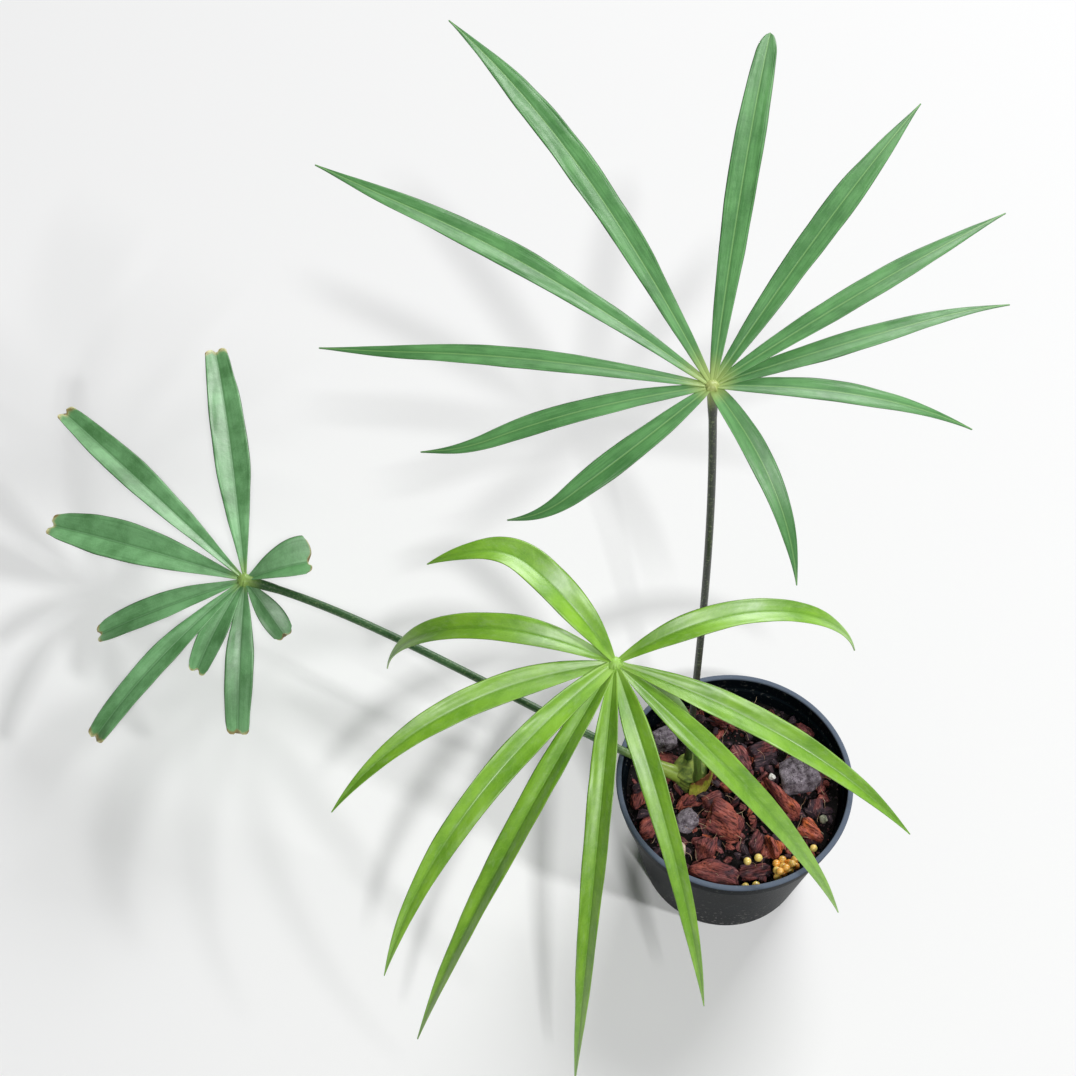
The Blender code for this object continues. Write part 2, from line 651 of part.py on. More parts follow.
def make_mix(seated):
    """The mix fills the pot, its bark stands out of it, and what sits in it has a seat cut for it."""
    foot = FLOOR + GAP
    edge = cavity_radius(SOIL_LEVEL, GAP)
    profile = [(0, foot), (cavity_radius(foot, GAP), foot), (edge, SOIL_LEVEL)]
    profile += [(edge * k / SOIL_RINGS, SOIL_LEVEL) for k in range(SOIL_RINGS - 1, 0, -1)]
    profile.append((0, SOIL_LEVEL))
    mix = turned("potting_mix", profile, POT_SIDES // 2, material("bark_mix", (0.10, 0.045, 0.035), 0.9))
    for vertex in mix.data.vertices:
        if vertex.co.z > SOIL_LEVEL - 0.1 * MM and vertex.co.xy.length < 0.95 * edge:
            vertex.co.z += SOIL_WAVE * (noise(vertex.co * SOIL_WAVES) - 0.3)
    combine(mix, [make_chunks(random.Random(12))])
    combine(mix, seated, "DIFFERENCE")
    keep_largest(mix)
    shade(mix, 25)


def build():
    for thing in list(bpy.data.objects):
        bpy.data.objects.remove(thing)
    make_pot()
    stones = make_stones()
    heap = make_prills()
    bract = make_cataphyll()
    stem = make_stem()
    stem_seat = turned("stem_seat", stem_profile(2 * GAP), STEM_SIDES)
    place(stem_seat, Vector((STEM_X, STEM_Y, 0)), 0)
    seats = [pocket(stone, 2 * GAP) for stone in stones]
    seats += [hull_of(heap, 1.5 * GAP), pocket(bract, 2 * GAP), as_cutter(stem_seat)]
    make_mix(seats + petiole_sockets())
    combine(stem, petiole_sockets(), "DIFFERENCE")
    shade(stem, 50)
    make_leaves()


build()
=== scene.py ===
"""The looks of a young anthurium in a nursery pot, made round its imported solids. Metres, +Z up.

Small sizes are in millimetres times MM. Colours are given as a screen shows them, 0 to 255.
"""

import math
import random
from collections import namedtuple
from functools import reduce

import bmesh
import bpy
import numpy as np
from mathutils import Euler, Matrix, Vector, noise


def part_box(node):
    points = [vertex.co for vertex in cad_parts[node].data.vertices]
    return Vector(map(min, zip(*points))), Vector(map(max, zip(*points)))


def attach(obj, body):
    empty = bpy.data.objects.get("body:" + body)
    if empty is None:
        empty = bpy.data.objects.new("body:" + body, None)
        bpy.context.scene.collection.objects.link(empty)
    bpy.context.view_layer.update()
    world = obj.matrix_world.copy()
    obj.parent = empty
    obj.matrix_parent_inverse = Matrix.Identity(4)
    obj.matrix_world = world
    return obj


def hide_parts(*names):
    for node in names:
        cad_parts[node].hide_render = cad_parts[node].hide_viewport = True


MM = 0.001

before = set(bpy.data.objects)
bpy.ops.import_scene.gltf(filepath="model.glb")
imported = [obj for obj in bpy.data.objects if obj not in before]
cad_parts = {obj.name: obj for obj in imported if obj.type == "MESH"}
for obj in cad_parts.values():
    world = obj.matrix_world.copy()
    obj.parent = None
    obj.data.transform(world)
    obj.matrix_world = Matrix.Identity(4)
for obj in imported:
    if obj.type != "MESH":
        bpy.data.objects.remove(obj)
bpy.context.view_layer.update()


# The view: a long lens looks down on the plant from the front, 31 degrees off plumb.
CAMERA_SPOT = (-0.0829, -0.4120, 0.9583)
CAMERA_TILT = math.radians(31)
CAMERA_LENS = 76.95
camera_data = bpy.data.cameras.new("camera")
camera_data.lens = CAMERA_LENS
camera_data.sensor_width = 36
camera_data.clip_start = 0.01
camera = bpy.data.objects.new("camera", camera_data)
camera.location = CAMERA_SPOT
camera.rotation_euler = (CAMERA_TILT, 0, 0)
bpy.context.scene.collection.objects.link(camera)
bpy.context.scene.camera = camera


# The pot is a thin black plastic nursery pot, moulded in one: a tapered wall, a step up to the collar, a
# rolled lip and eight round drain holes in its floor. Handling has scuffed it, and dust clings to it.
POT_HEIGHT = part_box("pot")[1].z
RIM_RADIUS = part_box("pot")[1].x
BASE_RADIUS = 36 * MM
POT_WALL = 1.2 * MM
POT_FLOOR = 1.6 * MM
COLLAR_FOOT = POT_HEIGHT - 9 * MM
COLLAR_STEP = 1.5 * MM
LIP_RADIUS = 0.9 * MM
LIP_REACH = 1.1 * MM
DRAIN_HOLES = 8
DRAIN_RADIUS = 3.5 * MM
DRAIN_CIRCLE = 25 * MM


def colour(red, green, blue):
    """A colour as the shaders want it."""
    shares = [channel / 255 for channel in (red, green, blue)]
    return (*[s / 12.92 if s <= 0.04045 else ((s + 0.055) / 1.055) ** 2.4 for s in shares], 1)


def put(tree, kind, inputs=None, **settings):
    """Adds a node. An input goes by its name or number and is a value or the socket that feeds it."""
    made = tree.nodes.new(kind)
    for setting, value in settings.items():
        setattr(made, setting, value)
    for label, value in (inputs or {}).items():
        if isinstance(value, bpy.types.NodeSocket):
            tree.links.new(value, made.inputs[label])
        else:
            made.inputs[label].default_value = value
    return made


def wire(tree, kind, inputs=None, **settings):
    """Adds a node as put does, and hands on its first output."""
    return put(tree, kind, inputs, **settings).outputs[0]


def maths(tree, operation, *values):
    return wire(tree, "ShaderNodeMath", dict(enumerate(values)), operation=operation)


def plus(tree, *values):
    return reduce(lambda so_far, value: maths(tree, "ADD", so_far, value), values)


def times(tree, *values):
    return reduce(lambda so_far, value: maths(tree, "MULTIPLY", so_far, value), values)


def ramp(tree, value, low, high, start=0.0, end=1.0):
    """Goes smoothly from start to end while value goes from low to high."""
    inputs = dict(enumerate((value, low, high, start, end)))
    return wire(tree, "ShaderNodeMapRange", inputs, interpolation_type="SMOOTHSTEP")


def tint(tree, share, first, second, blend="MIX"):
    """Goes from the first colour to the second by a share."""
    inputs = {0: share, 6: first, 7: second}
    return put(tree, "ShaderNodeMix", inputs, data_type="RGBA", blend_type=blend).outputs[2]


def mottle(tree, place, scale, detail=3.0, roughness=0.5):
    """Cloudy noise from 0 to 1, with scale lumps in a metre."""
    inputs = {"Vector": place, "Scale": scale, "Detail": detail, "Roughness": roughness}
    return put(tree, "ShaderNodeTexNoise", inputs).outputs["Fac"]


def on_object(tree):
    """Where a point lies on its piece, in metres."""
    return put(tree, "ShaderNodeTexCoord").outputs["Object"]


def height_of(tree, place):
    return put(tree, "ShaderNodeSeparateXYZ", {0: place}).outputs["Z"]


def stretched(tree, place, x, y, z):
    """Squeezes or stretches a pattern's coordinates."""
    return wire(tree, "ShaderNodeMapping", {"Vector": place, "Scale": (x, y, z)})


def new_finish(name, constants):
    """A material, its tree and its shader, which holds what is the same all over."""
    finish = bpy.data.materials.new(name)
    finish.use_nodes = True
    shader = finish.node_tree.nodes["Principled BSDF"]
    for label, value in constants.items():
        shader.inputs[label].default_value = value
    return finish, finish.node_tree, shader


def feed(tree, shader, base, rough, height, depth):
    """Joins a finish's colour, roughness and relief to its shader. Depth is the relief in metres."""
    tree.links.new(base, shader.inputs["Base Color"])
    tree.links.new(rough, shader.inputs["Roughness"])
    bump = put(tree, "ShaderNodeBump", {"Height": height, "Distance": depth, "Strength": 1.0})
    tree.links.new(bump.outputs[0], shader.inputs["Normal"])


def new_mesh(name, vertices, faces, finish=None, edges=()):
    mesh = bpy.data.meshes.new(name)
    mesh.from_pydata([tuple(v) for v in vertices], list(edges), faces)
    mesh.update()
    if finish:
        mesh.materials.append(finish)
    made = bpy.data.objects.new(name, mesh)
    bpy.context.scene.collection.objects.link(made)
    return made


def smooth(thing, sharp_degrees=180):
    thing.data.shade_smooth()
    if sharp_degrees < 180:
        thing.data.set_sharp_from_angle(angle=math.radians(sharp_degrees))


def fit(thing, slot, *nodes):
    """Hands a finished piece to the frame, in place of the solids that it stands for."""
    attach(thing, "root")
    if nodes:
        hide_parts(*nodes)


def arc(radius, height, size, first, last, steps):
    """Points on a round stretch of a profile, between two angles."""
    angles = [math.radians(first + (last - first) * k / steps) for k in range(steps + 1)]
    return [(radius + size * math.cos(a), height + size * math.sin(a)) for a in angles]


def turned(name, profile, sides, finish):
    """Turns a closed profile of (radius, height), anticlockwise with the axis on its left, about Z."""
    vertices, rings = [], []
    for radius, height in profile:
        if radius == 0:
            rings.append([len(vertices)] * sides)
            vertices.append((0, 0, height))
            continue
        rings.append(range(len(vertices), len(vertices) + sides))
        for k in range(sides):
            angle = 2 * math.pi * k / sides
            vertices.append((radius * math.cos(angle), radius * math.sin(angle), height))
    faces = []
    for i, ring in enumerate(rings):
        above = rings[(i + 1) % len(rings)]
        for k in range(sides):
            n = (k + 1) % sides
            corners = list(dict.fromkeys((ring[k], ring[n], above[n], above[k])))
            if len(corners) > 2:
                faces.append(corners)
    return new_mesh(name, vertices, faces, finish)


pot_plastic, tree, shader = new_finish("pot_plastic", {"Specular IOR Level": 0.02})
place = on_object(tree)
height = height_of(tree, place)
clouds = mottle(tree, place, 45)
base = tint(tree, clouds, colour(4, 8, 12), colour(14, 22, 28))
# The top of the rolled lip is painted paler grey-blue: part painted highlight, part wear.
lip = ramp(tree, height, POT_HEIGHT - 1.1 * MM, POT_HEIGHT - 0.3 * MM)
base = tint(tree, lip, base, colour(96, 106, 122))
scratches = mottle(tree, stretched(tree, place, 1, 1, 9), 260, 4, 0.7)
outside = ramp(tree, height, POT_HEIGHT - 12 * MM, POT_HEIGHT - 8 * MM, 1.0, 0.1)
scuffs = times(tree, ramp(tree, scratches, 0.62, 0.74), ramp(tree, clouds, 0.46, 0.62))
scuffs = times(tree, scuffs, outside)
base = tint(tree, times(tree, scuffs, 0.55), base, colour(140, 146, 150))
specks = ramp(tree, mottle(tree, place, 620, 2, 0.6), 0.62, 0.68)
low_wall = ramp(tree, height, 8 * MM, 52 * MM, 1.0, 0.15)
dust = times(tree, specks, low_wall)
base = tint(tree, times(tree, dust, 0.4), base, colour(205, 203, 196))
rough = ramp(tree, plus(tree, scuffs, dust), 0, 1, 0.36, 0.75)
feed(tree, shader, base, rough, mottle(tree, place, 1500, 3), 0.05 * MM)

collar = RIM_RADIUS - LIP_REACH
wall_top = collar - COLLAR_STEP
pot_profile = [(0, 0)]
pot_profile += arc(BASE_RADIUS - 1 * MM, 1 * MM, 1 * MM, -90, 0, 6)
pot_profile += arc(wall_top + 0.5 * MM, COLLAR_FOOT - 0.5 * MM, 0.5 * MM, 180, 90, 4)
pot_profile += arc(collar - 0.8 * MM, COLLAR_FOOT + 0.5 * MM, 0.5 * MM, -90, 0, 4)
pot_profile.append((collar, POT_HEIGHT - 2.2 * LIP_RADIUS))
pot_profile += arc(RIM_RADIUS - LIP_RADIUS, POT_HEIGHT - LIP_RADIUS, LIP_RADIUS, -80, 90, 12)
pot_profile += arc(collar - POT_WALL + 0.5 * MM, POT_HEIGHT - 0.5 * MM, 0.5 * MM, 90, 180, 5)
pot_profile += arc(collar - 0.3 * MM - POT_WALL - 0.6 * MM, COLLAR_FOOT + 1.7 * MM, 0.6 * MM, 0, -90, 4)
pot_profile += arc(wall_top - POT_WALL + 0.5 * MM, COLLAR_FOOT + 0.6 * MM, 0.5 * MM, 90, 180, 4)
pot_profile += arc(BASE_RADIUS - POT_WALL - 0.7 * MM, POT_FLOOR + 1 * MM, 1 * MM, 0, -90, 5)
pot_profile.append((0, POT_FLOOR))
pot = turned("pot_shell", pot_profile, 192, pot_plastic)
holes = bmesh.new()
for k in range(DRAIN_HOLES):
    angle = 2 * math.pi * k / DRAIN_HOLES
    hole = bmesh.ops.create_cone(holes, cap_ends=True, segments=32, radius1=DRAIN_RADIUS,
                                 radius2=DRAIN_RADIUS, depth=4 * POT_FLOOR)
    centre = Vector((math.cos(angle), math.sin(angle), 0)) * DRAIN_CIRCLE
    bmesh.ops.translate(holes, verts=hole["verts"], vec=centre)
cutter = new_mesh("drain_holes", [], [])
holes.to_mesh(cutter.data)
holes.free()
cut = pot.modifiers.new("drain", "BOOLEAN")
cut.operation = "DIFFERENCE"
cut.object = cutter


def settle(thing):
    """Turns an object and its modifiers into a plain mesh."""
    bpy.context.view_layer.update()
    evaluated = thing.evaluated_get(bpy.context.evaluated_depsgraph_get())
    mesh = bpy.data.meshes.new_from_object(evaluated)
    thing.modifiers.clear()
    thing.data = mesh
    return thing


settle(pot)
bpy.data.objects.remove(cutter)
smooth(pot, 40)
fit(pot, "pot_plastic", "pot")


# The mix is coarse potting bark over dark fines. The fines fill the pot from wall to wall, a little lumpy on
# top, and show as black gaps between the pieces of bark: dark peat, painted darker still as shade in the
# gaps.
SOIL_LEVEL = 61.5 * MM
SOIL_WAVE = 1.6 * MM
SOIL_WAVES = 90
SOIL_RINGS = 60
SOIL_SIDES = 160
MIX_LOW, MIX_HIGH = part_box("potting_mix")

soil_dark_and_shaded, tree, shader = new_finish("soil_dark_and_shaded", {"Specular IOR Level": 0.25})
place = on_object(tree)
grit = mottle(tree, place, 700, 5, 0.7)
# The fines are painted near black: dark peat, darkened further as painted shade in the gaps between the
# bark.
base = tint(tree, ramp(tree, grit, 0.5, 0.8), colour(9, 6, 6), colour(40, 25, 23))
feed(tree, shader, base, ramp(tree, grit, 0, 1, 0.95, 0.75), grit, 0.6 * MM)

soil_edge = MIX_HIGH.x
soil_foot = BASE_RADIUS + (soil_edge - BASE_RADIUS) * MIX_LOW.z / SOIL_LEVEL - POT_WALL - 0.4 * MM
soil_profile = [(0, MIX_LOW.z), (soil_foot, MIX_LOW.z), (soil_edge, SOIL_LEVEL)]
soil_profile += [(soil_edge * k / SOIL_RINGS, SOIL_LEVEL) for k in range(SOIL_RINGS - 1, 0, -1)]
soil_profile.append((0, SOIL_LEVEL))
fines = turned("mix_fines", soil_profile, SOIL_SIDES, soil_dark_and_shaded)
for vertex in fines.data.vertices:
    inside = 1 - (vertex.co.xy.length / soil_edge) ** 12
    if vertex.co.z > SOIL_LEVEL - 0.1 * MM:
        lumps = 1.2 * MM * noise.fractal(vertex.co * 350, 0.8, 2, 3)
        vertex.co.z += (SOIL_WAVE * (noise.noise(vertex.co * SOIL_WAVES) - 0.3) + lumps) * inside
smooth(fines)
fit(fines, "bark_mix", "potting_mix")


# The bark is crushed pine bark: chips that flaked off in layers, so each has a grain along its length.
# The larger chips lie where the top of the mix shows them, and small ones fill in between.
# Each row holds centre x, y, z, length, breadth, height, heading, and tone from 0 purple to 1 orange.
BARK = [
    (-4, -15, 66, 19, 16, 10, -30, 0.58),
    (-13, -26, 65, 14, 11, 10, 70, 0.50),
    (-10, -38, 65, 24, 11, 9, -14, 0.42),
    (7, -37, 64, 17, 8, 8, 8, 0.30),
    (16, -26, 66, 13, 9, 9, -65, 0.85),
    (32, -19, 65, 13, 9, 9, -35, 0.78),
    (21, -3, 65, 25, 8, 9, -57, 0.66),
    (33, 30, 63, 12, 9, 8, -30, 0.30),
    (14, 17, 64, 14, 12, 9, 20, 0.12),
    (-37, -18, 63, 11, 10, 8, 40, 0.48),
    (-27, 15, 62, 12, 8, 7, -10, 0.45),
    (3, 14, 64, 14, 9, 8, -60, 0.33),
    (-9, -4, 63, 10, 8, 8, 30, 0.36),
    (9, -24, 64, 12, 7, 8, 65, 0.28),
    (-2, 32, 62, 16, 6, 8, -35, 0.42),
    (7, 37, 62, 14, 6, 7, -15, 0.38),
    (-41, -4, 62, 10, 7, 7, 75, 0.50),
    (36, 6, 62, 12, 8, 8, 85, 0.36),
    (-20, 34, 62, 15, 8, 8, 35, 0.40),
    (22, 28, 62, 15, 7, 8, -5, 0.36),
]
SMALL_CHIPS = 20
SMALL_SPREAD = 42 * MM
BLUNT = 0.55  # 0 gives round lumps and 1 gives square ones
CHIP_EDGE = 40  # how crisp the edges between a chip's faces are
CHIP_TEAR = 0.22  # the depth of the torn layers, as a share of a chip's height
SHARDS = 250
LAYERS = (70, 230, 260)  # torn layers in a metre along, across and up through a chip
FIBRE_STREAKS = (160, 1200, 1200)
GOLDEN_ANGLE = math.pi * (3 - math.sqrt(5))


def minus(tree, value, less):
    return maths(tree, "SUBTRACT", value, less)


def held(tree, name, output="Fac"):
    """What the mesh holds at a point under a name."""
    return put(tree, "ShaderNodeAttribute", attribute_name=name).outputs[output]


bark, tree, shader = new_finish("bark", {"Specular IOR Level": 0.35})
grain = held(tree, "grain", "Vector")
tone = held(tree, "tone")
streaks = mottle(tree, stretched(tree, grain, 0.16, 1, 1), 1300, 5, 0.65)
patches = mottle(tree, stretched(tree, grain, 0.5, 1, 1), 190, 3, 0.6)
mixed = plus(tree, tone, times(tree, minus(tree, patches, 0.5), 1.5))
base = tint(tree, ramp(tree, mixed, 0.05, 0.4), colour(56, 42, 52), colour(118, 58, 58))
base = tint(tree, ramp(tree, mixed, 0.4, 0.75), base, colour(168, 86, 72))
base = tint(tree, ramp(tree, mixed, 0.75, 1.1), base, colour(222, 112, 50))
# Dark streaks lie where the relief sinks and pale ones where it rises: the dark are the bark's own dark
# fibres with painted shade in the grooves, the pale are painted sheen on the ridges.
base = tint(tree, ramp(tree, streaks, 0.38, 0.54, 0.85, 0.0), base, colour(24, 11, 13))
base = tint(tree, ramp(tree, streaks, 0.56, 0.72, 0.0, 0.5), base, colour(196, 150, 138))
feed(tree, shader, base, ramp(tree, streaks, 0.3, 0.7, 0.85, 0.6), streaks, 0.5 * MM)


def draw_lump(size, points, draw):
    """The hull of random points near the skin of a box with blunt corners: each face's outward
    direction and its distance from the middle."""
    work = bmesh.new()
    for _ in range(points):
        direction = Vector([draw.uniform(-1, 1) for _ in range(3)])
        while direction.length < 0.2:
            direction = Vector([draw.uniform(-1, 1) for _ in range(3)])
        reach = max(abs(c) for c in direction) * BLUNT + direction.length * (1 - BLUNT)
        work.verts.new([c / reach * s / 2 for c, s in zip(direction, size)])
    bmesh.ops.convex_hull(work, input=work.verts)
    bmesh.ops.delete(work, geom=[v for v in work.verts if not v.link_faces], context="VERTS")
    bmesh.ops.recalc_face_normals(work, faces=work.faces)
    return planes_of(work)


def planes_of(work):
    """A lump's middle, and its faces' directions and distances from that middle."""
    middle = sum((v.co for v in work.verts), Vector()) / len(work.verts)
    directions = np.array([f.normal for f in work.faces])
    distances = np.array([f.normal.dot(f.verts[0].co - middle) for f in work.faces])
    work.free()
    return middle, directions, distances


def round_lump(planes, subdivisions, crispness):
    """A finely faceted lump with these faces and softened edges between them, round its own middle."""
    middle, directions, distances = planes
    work = bmesh.new()
    bmesh.ops.create_icosphere(work, subdivisions=subdivisions, radius=1)
    for vertex in work.verts:
        shares = np.clip(directions @ np.array(vertex.co.normalized()) / distances, 0, None)
        vertex.co = middle + vertex.co.normalized() / float((shares**crispness).sum() ** (1 / crispness))
    return work


def bark_relief(point, seed, depth):
    """How far the bark stands out or in at a point: torn layers along the grain, and fine fibres."""
    shift = Vector((seed * 3.7, seed * 1.3, 0))
    layers = noise.noise(Vector([c * n for c, n in zip(point, LAYERS)]) + shift)
    torn = round(layers * 4) / 4 * 0.7 + layers * 0.3
    fibres = abs(noise.noise(Vector([c * n for c, n in zip(point, FIBRE_STREAKS)]) + shift))
    return depth * (torn - 0.35 * fibres)


def mark(thing, name, values):
    """Has a mesh hold a value at each of its points."""
    thing.data.attributes.new(name, "FLOAT", "POINT").data.foreach_set("value", values)


def stack(name, lumps, finish):
    """Joins lumps into one mesh. Each has its bmesh, its place, its seed and its tone."""
    vertices, faces, grains, tones = [], [], [], []
    for work, turn, seed, tone_of_lump in lumps:
        first = len(vertices)
        for vertex in work.verts:
            grains.append(vertex.co + Vector((seed * 0.1, 0, 0)))
            tones.append(tone_of_lump)
            vertices.append(turn @ vertex.co)
        faces += [[first + v.index for v in f.verts] for f in work.faces]
        work.free()
    made = new_mesh(name, vertices, faces, finish)
    grain_of = made.data.attributes.new("grain", "FLOAT_VECTOR", "POINT")
    grain_of.data.foreach_set("vector", [c for g in grains for c in g])
    mark(made, "tone", tones)
    smooth(made, 50)
    return made


def turn_to(centre, heading, pitch, roll):
    turn = Euler((math.radians(roll), math.radians(pitch), math.radians(heading))).to_matrix().to_4x4()
    turn.translation = centre
    return turn


def chip(size, points, draw, subdivisions, seed):
    work = round_lump(draw_lump(size, points, draw), subdivisions, CHIP_EDGE)
    for vertex in work.verts:
        vertex.co += vertex.co.normalized() * bark_relief(vertex.co, seed, CHIP_TEAR * size.z)
    work.verts.index_update()
    return work


def loose_chip(draw, reach, angle, sizes, points, subdivisions, seed, rise, pitches, rolls):
    """A chip of a random size that lies on the fines, with its place and its seed."""
    size = Vector([draw.uniform(least, most) for least, most in sizes]) * MM
    work = chip(size, points, draw, subdivisions, seed)
    height = SOIL_LEVEL + draw.uniform(*rise) * MM
    heading, pitch, roll = [draw.uniform(*span) for span in ((0, 360), (-pitches, pitches), (-rolls, rolls))]
    centre = Vector((reach * math.cos(angle), reach * math.sin(angle), height))
    return work, turn_to(centre, heading, pitch, roll), seed


draw = random.Random(12)
chips = []
for seed, (x, y, z, length, breadth, height, heading, tone_of_chip) in enumerate(BARK):
    work = chip(Vector((length, breadth, height)) * MM, 16, draw, 4, seed)
    pitch, roll = draw.uniform(-10, 10), draw.uniform(-18, 18)
    chips.append((work, turn_to(Vector((x, y, z)) * MM, heading, pitch, roll), seed, tone_of_chip))
tones = random.Random(5)
for k in range(SMALL_CHIPS):
    reach = SMALL_SPREAD * math.sqrt((k + 0.5) / SMALL_CHIPS)
    sizes = ((7, 11), (5, 8), (6, 8))
    small = loose_chip(draw, reach, k * GOLDEN_ANGLE, sizes, 12, 3, 50 + k, (0, 1.2), 20, 20)
    chips.append((*small, tones.uniform(-0.15, 0.7)))
fit(stack("bark_chips", chips, bark), "bark_mix", "potting_mix")

draw = random.Random(21)
shards = []
for k in range(SHARDS):
    reach = soil_edge * 0.94 * math.sqrt((k + 0.5) / SHARDS)
    angle = k * GOLDEN_ANGLE + draw.uniform(-0.2, 0.2)
    sizes = ((4, 11), (2.4, 5.5), (2, 4))
    shard = loose_chip(draw, reach, angle, sizes, 11, 2, 100 + k, (0.2, 2.2), 25, 30)
    shards.append((*shard, draw.uniform(-0.4, 0.8)))
fit(stack("bark_shards", shards, bark), "bark_mix", "potting_mix")


# The crumbs are broken bark and peat in the gaps, and the fibres are fine dry roots that lie among them.
# Both are strewn over the top of the fines.
CRUMBS = 260000  # in a square metre
CRUMB_LEAST = 0.3 * MM
CRUMB_MOST = 1.1 * MM
FIBRES = 15000
FIBRE_LENGTH = 7 * MM
FIBRE_RADIUS = 0.09 * MM


def new_tree(name, inputs, outputs={"Geometry": "Geometry"}, kind="GeometryNodeTree"):
    """A node group with named inputs and outputs, and the sockets at its two ends."""
    tree = bpy.data.node_groups.new(name, kind)
    for label, (socket, default) in inputs.items():
        made = tree.interface.new_socket(label, in_out="INPUT", socket_type="NodeSocket" + socket)
        if default is not None:
            made.default_value = default
    for label, socket in outputs.items():
        tree.interface.new_socket(label, in_out="OUTPUT", socket_type="NodeSocket" + socket)
    return tree, put(tree, "NodeGroupInput").outputs, put(tree, "NodeGroupOutput").inputs


def end_tree(tree, geometry):
    """Gives the geometry the finish that the tree is told, and puts it out."""
    start, end = tree.nodes["Group Input"].outputs, tree.nodes["Group Output"].inputs
    finished = put(tree, "GeometryNodeSetMaterial", {0: geometry, "Material": start["Finish"]})
    tree.links.new(finished.outputs[0], end[0])


def grow(thing, tree, finish):
    """Runs a geometry tree on an object with a finish, and keeps a plain mesh."""
    modifier = thing.modifiers.new(tree.name, "NODES")
    modifier.node_group = tree
    modifier[tree.interface.items_tree["Finish"].identifier] = finish
    return settle(thing)


def random_value(tree, low, high, seed, kind="FLOAT"):
    first, output = {"FLOAT": (2, 1), "FLOAT_VECTOR": (0, 0)}[kind]
    inputs = {first: low, first + 1: high, "Seed": seed}
    return put(tree, "FunctionNodeRandomValue", inputs, data_type=kind).outputs[output]


def strewn(tree, ground, density, seed):
    """Points strewn over the upward faces of the ground."""
    facing = put(tree, "ShaderNodeSeparateXYZ", {0: wire(tree, "GeometryNodeInputNormal")})
    upward = put(tree, "FunctionNodeCompare", {0: facing.outputs["Z"], 1: 0.2}, operation="GREATER_THAN")
    inputs = {"Mesh": ground, "Selection": upward.outputs[0], "Density": density, "Seed": seed}
    return put(tree, "GeometryNodeDistributePointsOnFaces", inputs).outputs["Points"]


def tumbled(tree, seed):
    """A random turn about all three axes."""
    full = (2 * math.pi,) * 3
    turn = random_value(tree, (0, 0, 0), full, seed, "FLOAT_VECTOR")
    return wire(tree, "FunctionNodeEulerToRotation", {0: turn})


def store(tree, geometry, name, value, kind="FLOAT", domain="POINT"):
    inputs = {"Geometry": geometry, "Name": name, "Value": value}
    return wire(tree, "GeometryNodeStoreNamedAttribute", inputs, data_type=kind, domain=domain)


t, start, _ = new_tree("crumbs", {
    "Ground": ("Geometry", None),
    "Density": ("Float", CRUMBS),
    "Least": ("Float", CRUMB_LEAST),
    "Most": ("Float", CRUMB_MOST),
    "Seed": ("Int", 3),
    "Finish": ("Material", None),
})
points = strewn(t, start["Ground"], start["Density"], start["Seed"])
crumb = wire(t, "GeometryNodeMeshIcoSphere", {"Radius": 1.0, "Subdivisions": 1})
shape = random_value(t, (0.6, 0.5, 0.35), (1.4, 1.0, 0.8), 11, "FLOAT_VECTOR")
size = random_value(t, start["Least"], start["Most"], 12)
scale = wire(t, "ShaderNodeVectorMath", {0: shape, 3: size}, operation="SCALE")
inputs = {"Points": points, "Instance": crumb, "Rotation": tumbled(t, 13), "Scale": scale}
strewn_crumbs = wire(t, "GeometryNodeInstanceOnPoints", inputs)
crumb_tones = random_value(t, -0.8, 0.35, 14)
toned = store(t, strewn_crumbs, "tone", crumb_tones, domain="INSTANCE")
real = wire(t, "GeometryNodeRealizeInstances", {0: toned})
grained = store(t, real, "grain", wire(t, "GeometryNodeInputPosition"),
                "FLOAT_VECTOR")
end_tree(t, grained)

crumbs = new_mesh("mix_crumbs", [], [])
crumbs.data = fines.data.copy()
grow(crumbs, t, bark)
fit(crumbs, "bark_mix", "potting_mix")

dry_root, tree, shader = new_finish("dry_root", {"Specular IOR Level": 0.3})
place = on_object(tree)
shades = mottle(tree, place, 150)
base = tint(tree, ramp(tree, shades, 0.35, 0.65), colour(120, 84, 62), colour(206, 182, 150))
feed(tree, shader, base, ramp(tree, shades, 0, 1, 0.8, 0.6), shades, 0.05 * MM)

t, start, _ = new_tree("fibres", {
    "Ground": ("Geometry", None),
    "Density": ("Float", FIBRES),
    "Length": ("Float", FIBRE_LENGTH),
    "Radius": ("Float", FIBRE_RADIUS),
    "Seed": ("Int", 9),
    "Finish": ("Material", None),
})
points = strewn(t, start["Ground"], start["Density"], start["Seed"])
ends = wire(t, "ShaderNodeCombineXYZ", {"X": start["Length"]})
line = wire(t, "GeometryNodeCurvePrimitiveLine", {"End": ends})
line = wire(t, "GeometryNodeResampleCurve", {"Curve": line, "Count": 14})
low_turn, high_turn = (-0.2, -0.9, 0), (0.2, 0.1, 2 * math.pi)
turn = random_value(t, low_turn, high_turn, 21, "FLOAT_VECTOR")
inputs = {
    "Points": points,
    "Instance": line,
    "Rotation": wire(t, "FunctionNodeEulerToRotation", {0: turn}),
    "Scale": random_value(t, (0.4, 1, 1), (1.2, 1, 1), 22, "FLOAT_VECTOR"),
}
laid = wire(t, "GeometryNodeInstanceOnPoints", inputs)
real = wire(t, "GeometryNodeRealizeInstances", {0: laid})
inputs = {"Scale": 140.0, "Detail": 1.0}
bends = put(t, "ShaderNodeTexNoise", inputs).outputs["Color"]
bends = put(t, "ShaderNodeVectorMath", {0: bends, 1: (0.5, 0.5, 0.35)}, operation="SUBTRACT")
bends = put(t, "ShaderNodeVectorMath", {0: bends.outputs[0], 3: 7 * MM}, operation="SCALE")
bent = wire(t, "GeometryNodeSetPosition", {0: real, "Offset": bends.outputs[0]})
